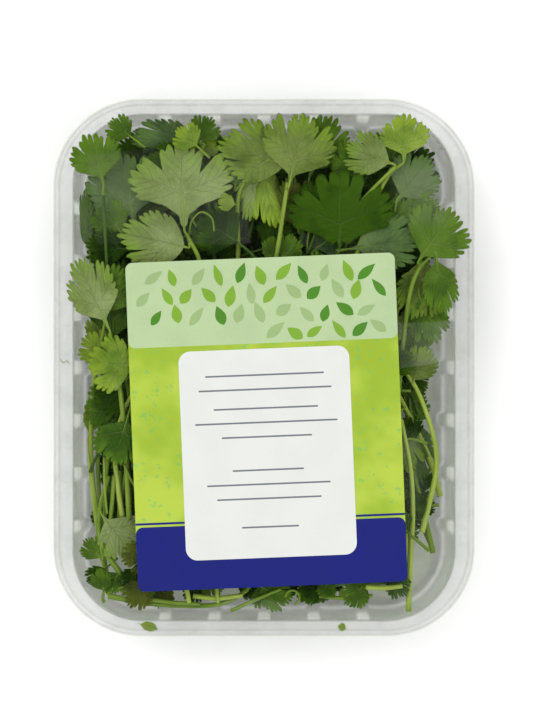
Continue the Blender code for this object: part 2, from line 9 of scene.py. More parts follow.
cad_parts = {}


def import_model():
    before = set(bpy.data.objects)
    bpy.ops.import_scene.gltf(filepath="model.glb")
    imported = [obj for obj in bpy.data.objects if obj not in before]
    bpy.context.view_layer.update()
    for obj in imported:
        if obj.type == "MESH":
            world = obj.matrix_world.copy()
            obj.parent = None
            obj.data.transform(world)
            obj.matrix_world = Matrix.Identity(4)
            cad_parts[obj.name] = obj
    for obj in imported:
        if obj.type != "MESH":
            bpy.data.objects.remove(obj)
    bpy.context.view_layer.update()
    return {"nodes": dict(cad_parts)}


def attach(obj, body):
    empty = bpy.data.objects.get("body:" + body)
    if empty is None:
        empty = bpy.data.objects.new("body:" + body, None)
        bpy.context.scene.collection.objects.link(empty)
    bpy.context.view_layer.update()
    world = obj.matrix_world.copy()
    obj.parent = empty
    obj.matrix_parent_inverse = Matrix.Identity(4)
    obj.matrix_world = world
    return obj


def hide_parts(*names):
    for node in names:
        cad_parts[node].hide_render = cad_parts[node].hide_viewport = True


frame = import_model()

mm = 0.001
print("frame loaded:", len(frame["nodes"]), "nodes")


# objects

def addObject(name, data):
    item = bpy.data.objects.new(name, data)
    bpy.context.scene.collection.objects.link(item)
    return item


def meshObject(name, points, faces, smooth=True):
    # points are in mm
    mesh = bpy.data.meshes.new(name)
    mesh.from_pydata([(x * mm, y * mm, z * mm) for x, y, z in points], [], faces)
    mesh.polygons.foreach_set("use_smooth", [smooth] * len(mesh.polygons))
    return addObject(name, mesh)


def pointColours(item, name, rows):
    layer = item.data.color_attributes.new(name, "FLOAT_COLOR", "POINT")
    layer.data.foreach_set("color", np.array(rows, float).ravel())


def takeRole(item, node=None):
    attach(item, "root")
    if node:
        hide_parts(node)


# the camera hangs straight above the tray, as the photograph is taken

photoView = {
    "middle": (1.05, 1.9),   # mm, the point under the middle of the picture
    "height": 1500.0,        # mm above the floor
    "rim": 35.0,             # mm, the height that the scale holds for
    "mmPerPixel": 0.4215, "pixelsWide": 533, "sensor": 36.0,
    "clip": (0.01, 20.0),    # m
}


def addCamera(view):
    camera = bpy.data.cameras.new("photoCamera")
    camera.sensor_fit = "HORIZONTAL"
    camera.sensor_width = view["sensor"]
    seen = view["pixelsWide"] * view["mmPerPixel"]
    camera.lens = view["sensor"] * (view["height"] - view["rim"]) / seen
    camera.clip_start, camera.clip_end = view["clip"]
    holder = addObject("photoCamera", camera)
    holder.location = (view["middle"][0] * mm, view["middle"][1] * mm, view["height"] * mm)
    bpy.context.scene.camera = holder


addCamera(photoView)
print("camera set")


# shader nodes: a socket is given a number, a colour, a vector or another socket

def give(tree, sockets, values):
    for label, given in values.items():
        if isinstance(given, bpy.types.NodeSocket):
            tree.links.new(given, sockets[label])
        elif isinstance(given, tuple) and sockets[label].type == "RGBA":
            sockets[label].default_value = (*given, 1.0)
        elif given is not None:
            sockets[label].default_value = given


def addNode(tree, kind, values=None, **settings):
    node = tree.nodes.new("ShaderNode" + kind)
    for name, setting in settings.items():
        setattr(node, name, setting)
    give(tree, node.inputs, values or {})
    return node.outputs


def toolsFor(tree):
    def calc(operation, *values):
        return addNode(tree, "Math", dict(enumerate(values)), operation=operation)[0]

    def span(*values):
        # value, low, high, and what those two become: 0 and 1, or as given
        return addNode(tree, "MapRange", dict(enumerate(values)), interpolation_type="SMOOTHSTEP")[0]

    def mix(factor, first, second, blend="MIX"):
        values = {0: factor, 6: first, 7: second}
        return addNode(tree, "Mix", values, data_type="RGBA", blend_type=blend)[2]

    def noise(vector, scale, detail=2.0, roughness=0.5, output="Fac"):
        values = {"Vector": vector, "Scale": scale, "Detail": detail, "Roughness": roughness}
        return addNode(tree, "TexNoise", values)[output]

    return calc, span, mix, noise


def objectPlace(tree):
    return addNode(tree, "TexCoord")["Object"]


def newMaterial(name, roughness, specular=None, colour=None):
    material = bpy.data.materials.new(name)
    material.use_nodes = True
    tree = material.node_tree
    shader = tree.nodes["Principled BSDF"]
    give(tree, shader.inputs, {"Roughness": roughness, "Specular IOR Level": specular, "Base Color": colour})
    return material, tree, shader


def coat(tree, shader, colour, height, strength, distance):
    # distance is how high the relief stands, in m
    values = {"Strength": strength, "Distance": distance, "Height": height}
    give(tree, shader.inputs, {"Base Color": colour, "Normal": addNode(tree, "Bump", values)["Normal"]})


def newGroup(name, inputs, outputs):
    # inputs: each label with a number, a colour, or None for a vector
    group = bpy.data.node_groups.new(name, "ShaderNodeTree")
    kinds = {float: "NodeSocketFloat", tuple: "NodeSocketColor", type(None): "NodeSocketVector"}
    for label, value in inputs.items():
        socket = group.interface.new_socket(name=label, in_out="INPUT", socket_type=kinds[type(value)])
        if value is not None:
            socket.default_value = value
    for label in outputs:
        kind = kinds[tuple if label == "colour" else float]
        group.interface.new_socket(name=label, in_out="OUTPUT", socket_type=kind)
    return group, group.nodes.new("NodeGroupInput").outputs, group.nodes.new("NodeGroupOutput").inputs


# leaf and stalk finishes

leafColours = {
    # each: shadowed tone, lit tone, edge tone, midrib show, fine vein show, roughness
    "leafPale": ((0.185, 0.255, 0.066), (0.335, 0.412, 0.170), (0.215, 0.350, 0.036), 0.50, 0.95, 0.60),
    "leafBright": ((0.140, 0.245, 0.024), (0.310, 0.430, 0.070), (0.320, 0.455, 0.036), 0.40, 0.80, 0.48),
    "leafSoft": ((0.090, 0.145, 0.018), (0.215, 0.285, 0.072), (0.205, 0.330, 0.028), 0.45, 0.85, 0.55),
    "leafMid": ((0.040, 0.100, 0.009), (0.115, 0.212, 0.024), (0.125, 0.245, 0.016), 0.32, 0.60, 0.48),
    # the dark finish: a dark green leaf, also used as painted shade on the deep filling leaves
    "leafDark": ((0.009, 0.030, 0.001), (0.038, 0.098, 0.002), (0.048, 0.118, 0.003), 0.16, 0.40, 0.44),
    "leafHazy": ((0.058, 0.110, 0.036), (0.145, 0.225, 0.080), (0.115, 0.210, 0.045), 0.25, 0.55, 0.58),
    "leafOlive": ((0.030, 0.045, 0.006), (0.100, 0.125, 0.018), (0.110, 0.150, 0.016), 0.30, 0.40, 0.50),
}


def makeVeinGroup():
    # Leaf place is in blade lengths: x across, y from the hub to the tip of the middle lobe
    group, given, out = newGroup(
        "leafVeins", {"leafPlace": None, "veinWidth": 0.012, "junction": 0.16, "lobeAngle": 1.12},
        ("midrib", "fineVeins", "relief", "reach"))
    calc, span, mix, noise = toolsFor(group)
    leafPlace, lobeAngle = given["leafPlace"], given["lobeAngle"]
    sway = 0.09                                      # keeps the veins from running straight
    wander = noise(leafPlace, 4.0, output="Color")
    pushed = addNode(group, "VectorMath", {0: wander, 1: (sway, sway, 0.0), 2: leafPlace},
                     operation="MULTIPLY_ADD")[0]
    parts = addNode(group, "SeparateXYZ", {0: pushed})
    across = calc("SUBTRACT", parts[0], sway / 2)
    along = calc("SUBTRACT", calc("SUBTRACT", parts[1], sway / 2), given["junction"])
    angle = calc("ARCTAN2", across, along)
    lobe = calc("ROUND", calc("DIVIDE", angle, lobeAngle))
    lobe = calc("MINIMUM", calc("MAXIMUM", lobe, -1.0), 1.0)
    turned = calc("SUBTRACT", angle, calc("MULTIPLY", lobe, lobeAngle))
    reach = calc("SQRT", calc("ADD", calc("MULTIPLY", across, across), calc("MULTIPLY", along, along)))
    alongLobe = calc("MULTIPLY", reach, calc("COSINE", turned))
    signed = calc("MULTIPLY", reach, calc("SINE", turned))
    beside = calc("ABSOLUTE", signed)
    taper = calc("MULTIPLY", given["veinWidth"], calc("MAXIMUM", calc("SUBTRACT", 1.15, alongLobe), 0.25))
    main = calc("MULTIPLY", span(beside, 0.0, taper, 1.0, 0.0), calc("GREATER_THAN", alongLobe, -0.02))
    tail = calc("MULTIPLY", span(calc("ABSOLUTE", across), 0.0, 0.03, 1.0, 0.0), calc("LESS_THAN", along, 0.0))
    midrib = calc("MAXIMUM", main, tail)
    slanted = calc("SUBTRACT", alongLobe, calc("MULTIPLY", beside, 1.15))
    shifted = calc("MULTIPLY_ADD", slanted, 7.0, calc("MULTIPLY", calc("GREATER_THAN", signed, 0.0), 0.45))
    fromLine = calc("ABSOLUTE", calc("SUBTRACT", calc("FRACT", shifted), 0.5))
    side = calc("MULTIPLY", span(fromLine, 0.0, 0.09, 1.0, 0.0), span(slanted, 0.0, 0.10))
    net = addNode(group, "TexVoronoi", {"Scale": 17.0, "Vector": pushed}, feature="DISTANCE_TO_EDGE")
    mesh = span(net["Distance"], 0.0, 0.07, 0.45, 0.0)
    pillow = calc("MULTIPLY", span(fromLine, 0.0, 0.5), 0.5)
    sunk = calc("ADD", midrib, calc("MULTIPLY", mesh, 0.4))
    far = addNode(group, "VectorMath", {0: leafPlace}, operation="LENGTH")["Value"]
    give(group, out, {"midrib": midrib, "fineVeins": calc("MAXIMUM", side, mesh),
                      "relief": calc("SUBTRACT", pillow, sunk), "reach": far})
    return group


def makeGreenGroup():
    group, given, out = newGroup(
        "leafGreens",
        {"shadowed": (0.1, 0.2, 0.05, 1), "lit": (0.2, 0.3, 0.1, 1), "edge": (0.2, 0.3, 0.1, 1), "tone": 0.5,
         "midrib": 0.0, "fineVeins": 0.0, "midribShow": 0.4, "fineShow": 0.4, "reach": 0.5},
        ("colour", "grain"))
    calc, span, mix, noise = toolsFor(group)
    place = objectPlace(group)
    patches, fine = noise(place, 150.0, 3.0), noise(place, 1500.0, 2.0, 0.6)
    lean = given["tone"]
    for leaning in (span(patches, 0.35, 0.65, -0.20, 0.20),
                    span(noise(place, 48.0, 1.0), 0.38, 0.62, -0.24, 0.24),
                    span(fine, 0.3, 0.7, -0.08, 0.08),
                    span(given["reach"], 0.05, 0.45, 0.16, 0.0)):
        lean = calc("ADD", lean, leaning)
    lean = calc("MINIMUM", calc("MAXIMUM", lean, 0.0), 1.0)
    colour = mix(lean, given["shadowed"], given["lit"])
    rim = span(calc("ADD", given["reach"], span(patches, 0.35, 0.65, -0.12, 0.12)), 0.48, 0.95)
    colour = mix(calc("MULTIPLY", rim, 0.80), colour, given["edge"])
    sunk = mix(1.0, colour, (0.58, 0.72, 0.42), "MULTIPLY")
    colour = mix(calc("MULTIPLY", given["fineVeins"], given["fineShow"]), colour, sunk)
    paler = mix(1.0, colour, (0.24, 0.28, 0.12), "SCREEN")
    colour = mix(calc("MULTIPLY", given["midrib"], given["midribShow"]), colour, paler)
    give(group, out, {"colour": colour, "grain": fine})
    return group


leafLook = {"specular": 0.05, "veinWidth": 0.020, "grain": 0.35, "bump": (0.8, 0.0006), "through": 0.22}


def makeLeafMaterials(look):
    veinGroup, greenGroup = makeVeinGroup(), makeGreenGroup()
    made = {}
    for name, (shadowed, lit, edge, midribShow, fineShow, roughness) in leafColours.items():
        made[name], tree, shader = newMaterial(name, roughness, look["specular"])
        calc = toolsFor(tree)[0]
        place = addNode(tree, "UVMap", uv_map="leafPlace")[0]
        tone = addNode(tree, "Attribute", attribute_name="leafTone")["Fac"]
        drawn = {"veinWidth": look["veinWidth"], "leafPlace": place}
        veins = addNode(tree, "Group", drawn, node_tree=veinGroup)
        green = {"shadowed": shadowed, "lit": lit, "edge": edge, "tone": tone, "midribShow": midribShow,
                 "fineShow": fineShow, **{label: veins[label] for label in ("midrib", "fineVeins", "reach")}}
        colour, grain = addNode(tree, "Group", green, node_tree=greenGroup)
        height = calc("ADD", veins["relief"], calc("MULTIPLY", grain, look["grain"]))
        coat(tree, shader, colour, height, *look["bump"])
        through = addNode(tree, "BsdfTranslucent", {"Color": colour})[0]
        both = addNode(tree, "MixShader", {0: look["through"], 1: shader.outputs[0], 2: through})[0]
        give(tree, tree.nodes["Material Output"].inputs, {"Surface": both})
    return made


stalkColours = {
    "stalkFresh": ((0.210, 0.315, 0.026), (0.420, 0.510, 0.110)),
    "stalkBright": ((0.120, 0.205, 0.014), (0.260, 0.345, 0.055)),
    "stalkMid": ((0.080, 0.160, 0.011), (0.190, 0.285, 0.036)),
    "stalkDark": ((0.020, 0.058, 0.005), (0.060, 0.125, 0.014)),
    "stalkCut": ((0.260, 0.330, 0.100), (0.400, 0.460, 0.190)),
}
stalkLook = {"roughness": 0.38, "specular": 0.12, "stretch": (9.0, 0.35, 1.0), "bump": (0.4, 0.0003)}


def makeStalkMaterials(look):
    made = {}
    for name, (low, high) in stalkColours.items():
        made[name], tree, shader = newMaterial(name, look["roughness"], look["specular"])
        calc, span, mix, noise = toolsFor(tree)
        place = addNode(tree, "UVMap", uv_map="leafPlace")[0]
        stretched = addNode(tree, "Mapping", {"Scale": look["stretch"], "Vector": place})[0]
        streaks, patches = noise(stretched, 2.0, 3.0, 0.6), noise(objectPlace(tree), 60.0)
        lean = calc("ADD", span(streaks, 0.35, 0.65, 0.0, 0.6), span(patches, 0.35, 0.65, 0.0, 0.4))
        coat(tree, shader, mix(lean, low, high), streaks, *look["bump"])
    return made


finishes = {**makeLeafMaterials(leafLook), **makeStalkMaterials(stalkLook)}
finishOrder = list(finishes)
finishNumber = {name: number for number, name in enumerate(finishOrder)}
print("leaf and stalk finishes made")


# building leaves and stalks

def newShape():
    return {"points": [], "faces": [], "finish": [], "place": [], "tone": []}


def addFace(shape, number, *corners):
    shape["faces"].append(corners)
    shape["finish"].append(number)


def addInto(total, shape):
    start = len(total["points"])
    total["faces"] += [tuple(v + start for v in face) for face in shape["faces"]]
    for part in ("points", "finish", "place", "tone"):
        total[part] += shape[part]


def addGrid(shape, top, bottom, apex, places, finish, tone):
    # top and bottom: rays x rings x 3, a closed fan round the apex pair
    rays, rings = top.shape[:2]
    start, size = len(shape["points"]), rays * rings
    flat = [tuple(p) for p in places.reshape(-1, 2)]
    shape["points"] += [tuple(p) for p in (*top.reshape(-1, 3), *bottom.reshape(-1, 3), *apex)]
    shape["place"] += flat + flat + [(0.0, 0.0)] * 2
    shape["tone"] += [tone] * (2 * size + 2)
    upper, lower = (finishNumber[name] for name in finish)
    for i in range(rays):
        a, b = start + i * rings, start + (i + 1) % rays * rings
        addFace(shape, upper, start + 2 * size, b, a)
        addFace(shape, lower, start + 2 * size + 1, a + size, b + size)
        for r in range(rings - 1):
            addFace(shape, upper, a + r, b + r, b + r + 1, a + r + 1)
            addFace(shape, lower, b + size + r, a + size + r, a + size + r + 1, b + size + r + 1)
        a, b = a + rings - 1, b + rings - 1
        addFace(shape, upper, a, b, b + size, a + size)


leafForm = {
    # lobes: middle, half spread, reach, how much shorter the outer side is
    "lobes": ((-48, 22, 0.88, 0.21), (0, 22, 1.0, 0.0), (48, 22, 0.88, 0.21)),
    "cleft": 0.57,        # reach of the cuts between the lobes
    "deepNotch": 0.19,    # cut between the groups of teeth
    "notch": 0.09,        # cut between two teeth
    "thickness": 0.25,    # mm
    "ceiling": 36.2,      # mm, the film presses what would stand higher
    # base: angle, reach of a straight one, of a hollow one and of a widely opened leaf
    "base": ((73, 0.52, 0.49, 0.50), (77, 0.46, 0.34, 0.395), (82, 0.40, 0.22, 0.305), (90, 0.31, 0.14, 0.245),
             (104, 0.21, 0.10, 0.21), (122, 0.14, 0.085, 0.19), (142, 0.11, 0.085, 0.185)),
    # tail: angle, reach in tail lengths
    "tailSides": ((160, 0.50), (172, 0.82)),
    "tail": (0.06, 0.27), "openTail": 0.40,
}


def leafOutline(draw, teeth, fine, tail, hollow, opened):
    # angle and reach of each point from -180 to 180 degrees, in blade lengths
    form = leafForm
    base = [(a + opened * (180 - a) / 107, funnel if opened else straight + (deep - straight) * hollow)
            for a, straight, deep, funnel in form["base"]]
    base += [(a, max(tail * share, 0.04)) for a, share in form["tailSides"]]
    points = [(-a, r) for a, r in reversed(base)]
    lobes = [(middle + math.copysign(opened, middle) if middle else 0, half + (opened * 0.3 if middle else 0),
              reach, lean) for middle, half, reach, lean in form["lobes"]]
    for number, (middle, half, reach, lean) in enumerate(lobes):
        count = teeth[number]
        reach *= draw.uniform(0.92, 1.05)
        outer = lean * (1 if middle > 0 else -1)
        edges = [middle - half + 2 * half * (n + (draw.uniform(-0.16, 0.16) if 0 < n < count else 0)) / count
                 for n in range(count + 1)]
        deepAt = {round(count / 3), round(2 * count / 3)}
        for n in range(count):
            low, high = edges[n], edges[n + 1]
            wide = high - low
            share = ((low + high) / 2 - middle) / half
            crown = reach * (1 - 0.13 * share ** 2) * (1 - outer * share) * draw.uniform(0.955, 1.035)
            if n > 0:
                cut = form["deepNotch"] if n in deepAt else form["notch"]
                points.append((low, crown * (1 - cut * draw.uniform(0.7, 1.35))))
            else:
                points.append((low, crown * 0.90))
            profile = ((0.16, 0.955), (0.36, 0.992), (0.52, 1.0), (0.68, 0.988), (0.86, 0.95))
            if not fine:
                profile = ((0.22, 0.97), (0.52, 1.0), (0.80, 0.965))
            points += [(low + wide * s, crown * f) for s, f in profile]
        points.append((edges[-1], crown * 0.90))
        if number < 2:
            after = lobes[number + 1]
            between = (edges[-1] + after[0] - after[1]) / 2
            points.append((between, form["cleft"] * draw.uniform(0.88, 1.12)))
    points += base
    points.append((180, tail))
    return points


def bendTable(angle, reach=1.2, steps=48):
    # how far across and down a strip goes that bends by angle (degrees) within a short width
    across = down = 0.0
    table = [(0.0, 0.0)]
    for n in range(steps):
        s = (n + 0.5) / steps * reach
        turn = math.radians(angle) * min(1.0, s / 0.16)
        across += math.cos(turn) * reach / steps
        down += math.sin(turn) * reach / steps
        table.append((across, down))
    return np.array(table), reach / steps


def bent(values, angle):
    table, step = bendTable(angle)
    spot = np.clip(np.abs(values) / step, 0, len(table) - 1.001)
    first = spot.astype(int)
    part = (spot - first)[..., None]
    found = table[first] * (1 - part) + table[first + 1] * part
    return found[..., 0], found[..., 1]


def lengthAndHeading(base, tip):
    across, up = tip[0] - base[0], tip[1] - base[1]
    return math.hypot(across, up), math.atan2(up, across)


def addLeaf(shape, base, tip, spread, surface, finish, draw, fold=(0, 0), teeth=(6, 7, 6),
            rings=(0.10, 0.26, 0.44, 0.62, 0.80, 0.92, 1.0), wave=0.012, fine=True, tone=None,
            tail=0.06, curl=0.06, hollow=None, opened=0):
    # base and tip are in mm; surface(across, along) gives the height in mm of a place in blade lengths
    length, heading = lengthAndHeading(base, tip)
    hollowDraw = draw.uniform(0.35, 1.0)
    outline = leafOutline(draw, teeth, fine, tail, hollowDraw if hollow is None else hollow, opened)
    angles = np.radians([a for a, r in outline])[:, None]
    reach = np.array([r for a, r in outline])[:, None] * np.array(rings)[None, :]
    across, along = np.sin(angles) * reach * spread, np.cos(angles) * reach
    places = np.stack([np.sin(angles) * reach, along], -1)
    phase = draw.uniform(0, 6.28)
    ripple = wave * np.sin(angles * draw.choice((5, 6, 7)) + phase) * reach ** 2
    ripple += wave * 0.8 * np.sin(angles * 19 + phase * 2) * np.clip(reach - 0.55, 0, 1) * 2
    groove = -0.014 * np.cos(angles * 360 / 48) * np.clip(reach * 1.6, 0, 1) * (np.abs(angles) < 1.4)
    for middle, *_ in leafForm["lobes"]:                # each lobe is tilted a little by itself
        nearLobe = np.exp(-((np.degrees(angles) - middle) / 24) ** 2)
        ripple += draw.uniform(-curl, curl) * nearLobe * reach ** 2
    drop = np.zeros_like(across)
    if fold != (0, 0):
        foldedLeft, downLeft = bent(across, fold[0])
        foldedRight, downRight = bent(across, fold[1])
        drop = -np.where(across < 0, downLeft, downRight)
        across = np.where(across < 0, -foldedLeft, foldedRight)

    def world(x, y, z):
        wx = base[0] + (x * math.sin(heading) + y * math.cos(heading)) * length
        wy = base[1] + (-x * math.cos(heading) + y * math.sin(heading)) * length
        return np.stack([wx, wy, np.minimum(surface(x, y) + z * length, leafForm["ceiling"])], -1)

    middle = world(across, along, drop + ripple + groove)
    before, after = np.roll(middle, 1, 0), np.roll(middle, -1, 0)
    outward = np.gradient(middle, axis=1)
    normal = np.cross(outward, after - before)
    normal /= np.maximum(np.linalg.norm(normal, axis=-1, keepdims=True), 1e-9)
    normal = np.where(normal.sum(0, keepdims=True)[..., 2:3] < 0, -normal, normal)
    offset = normal * leafForm["thickness"] / 2
    hub = world(np.zeros(1), np.zeros(1), np.zeros(1))[0]
    lift = np.array((0, 0, leafForm["thickness"] / 2))
    value = draw.uniform(0.2, 0.8) if tone is None else tone
    addGrid(shape, middle + offset, middle - offset, (hub + lift, hub - lift), places, finish, value)


def smoothRoute(points, steps):
    places = [np.array(p, float) for p in points]
    places = [places[0] * 2 - places[1]] + places + [places[-1] * 2 - places[-2]]
    route = []
    for n in range(1, len(places) - 2):
        before, start, end, after = places[n - 1:n + 3]
        for step in range(steps):
            t = step / steps
            route.append(0.5 * (2 * start + (end - before) * t
                                + (2 * before - 5 * start + 4 * end - after) * t * t
                                + (3 * start - before - 3 * end + after) * t ** 3))
    return np.array(route + [places[-2]])


def addStalk(shape, route, firstRadius, lastRadius, finish, sides=10, tone=0.5, flare=0.0,
             cutFinish="stalkCut"):
    # flare widens the first tenth, as where a stalk leaves a thicker one
    count = len(route)
    ways = np.gradient(route, axis=0)
    ways /= np.maximum(np.linalg.norm(ways, axis=1, keepdims=True), 1e-9)
    side = np.cross(ways[0], (0, 0, 1.0))
    side = side if np.linalg.norm(side) > 0.01 else np.array((1.0, 0, 0))
    start = len(shape["points"])
    travelled = 0.0
    for n in range(count):
        side = side - ways[n] * side.dot(ways[n])
        side /= np.linalg.norm(side)
        other = np.cross(ways[n], side)
        share = n / (count - 1)
        radius = firstRadius + (lastRadius - firstRadius) * share
        radius *= 1 + flare * max(0.0, 1 - share * 8)
        if n:
            travelled += float(np.linalg.norm(route[n] - route[n - 1]))
        for k in range(sides):
            turn = 2 * math.pi * k / sides
            ridge = 1 + 0.05 * math.cos(turn * 4 + share)
            point = route[n] + (side * math.cos(turn) + other * math.sin(turn)) * radius * ridge
            shape["points"].append(tuple(point))
            shape["place"].append((abs(k / sides * 2 - 1), travelled / 10))
            shape["tone"].append(tone)
    number, last = finishNumber[finish], start + (count - 1) * sides
    for ring in range(start, last, sides):
        for k in range(sides):
            a, b = ring + k, ring + (k + 1) % sides
            addFace(shape, number, a, b, b + sides, a + sides)
    addFace(shape, finishNumber[cutFinish or finish], *(start + k for k in reversed(range(sides))))
    addFace(shape, number, *(last + k for k in range(sides)))


def makePiece(name, shape):
    item = meshObject(name, shape["points"], shape["faces"])
    mesh = item.data
    used = sorted(set(shape["finish"]))
    for number in used:
        mesh.materials.append(finishes[finishOrder[number]])
    mesh.polygons.foreach_set("material_index", [used.index(n) for n in shape["finish"]])
    loops = np.zeros(len(mesh.loops), int)
    mesh.loops.foreach_get("vertex_index", loops)
    layer = mesh.uv_layers.new(name="leafPlace")
    layer.data.foreach_set("uv", np.array(shape["place"], float)[loops].ravel())
    pointColours(item, "leafTone", [(tone, tone, tone, 1.0) for tone in shape["tone"]])
    mesh.update()
    return item


# the sprigs: places in mm, as the solids lie
# each: node, finish, stalk from the cut end to the head, leaves, other settings
# each leaf: base, tip, width share, options, where start is how far up the stalk it leaves

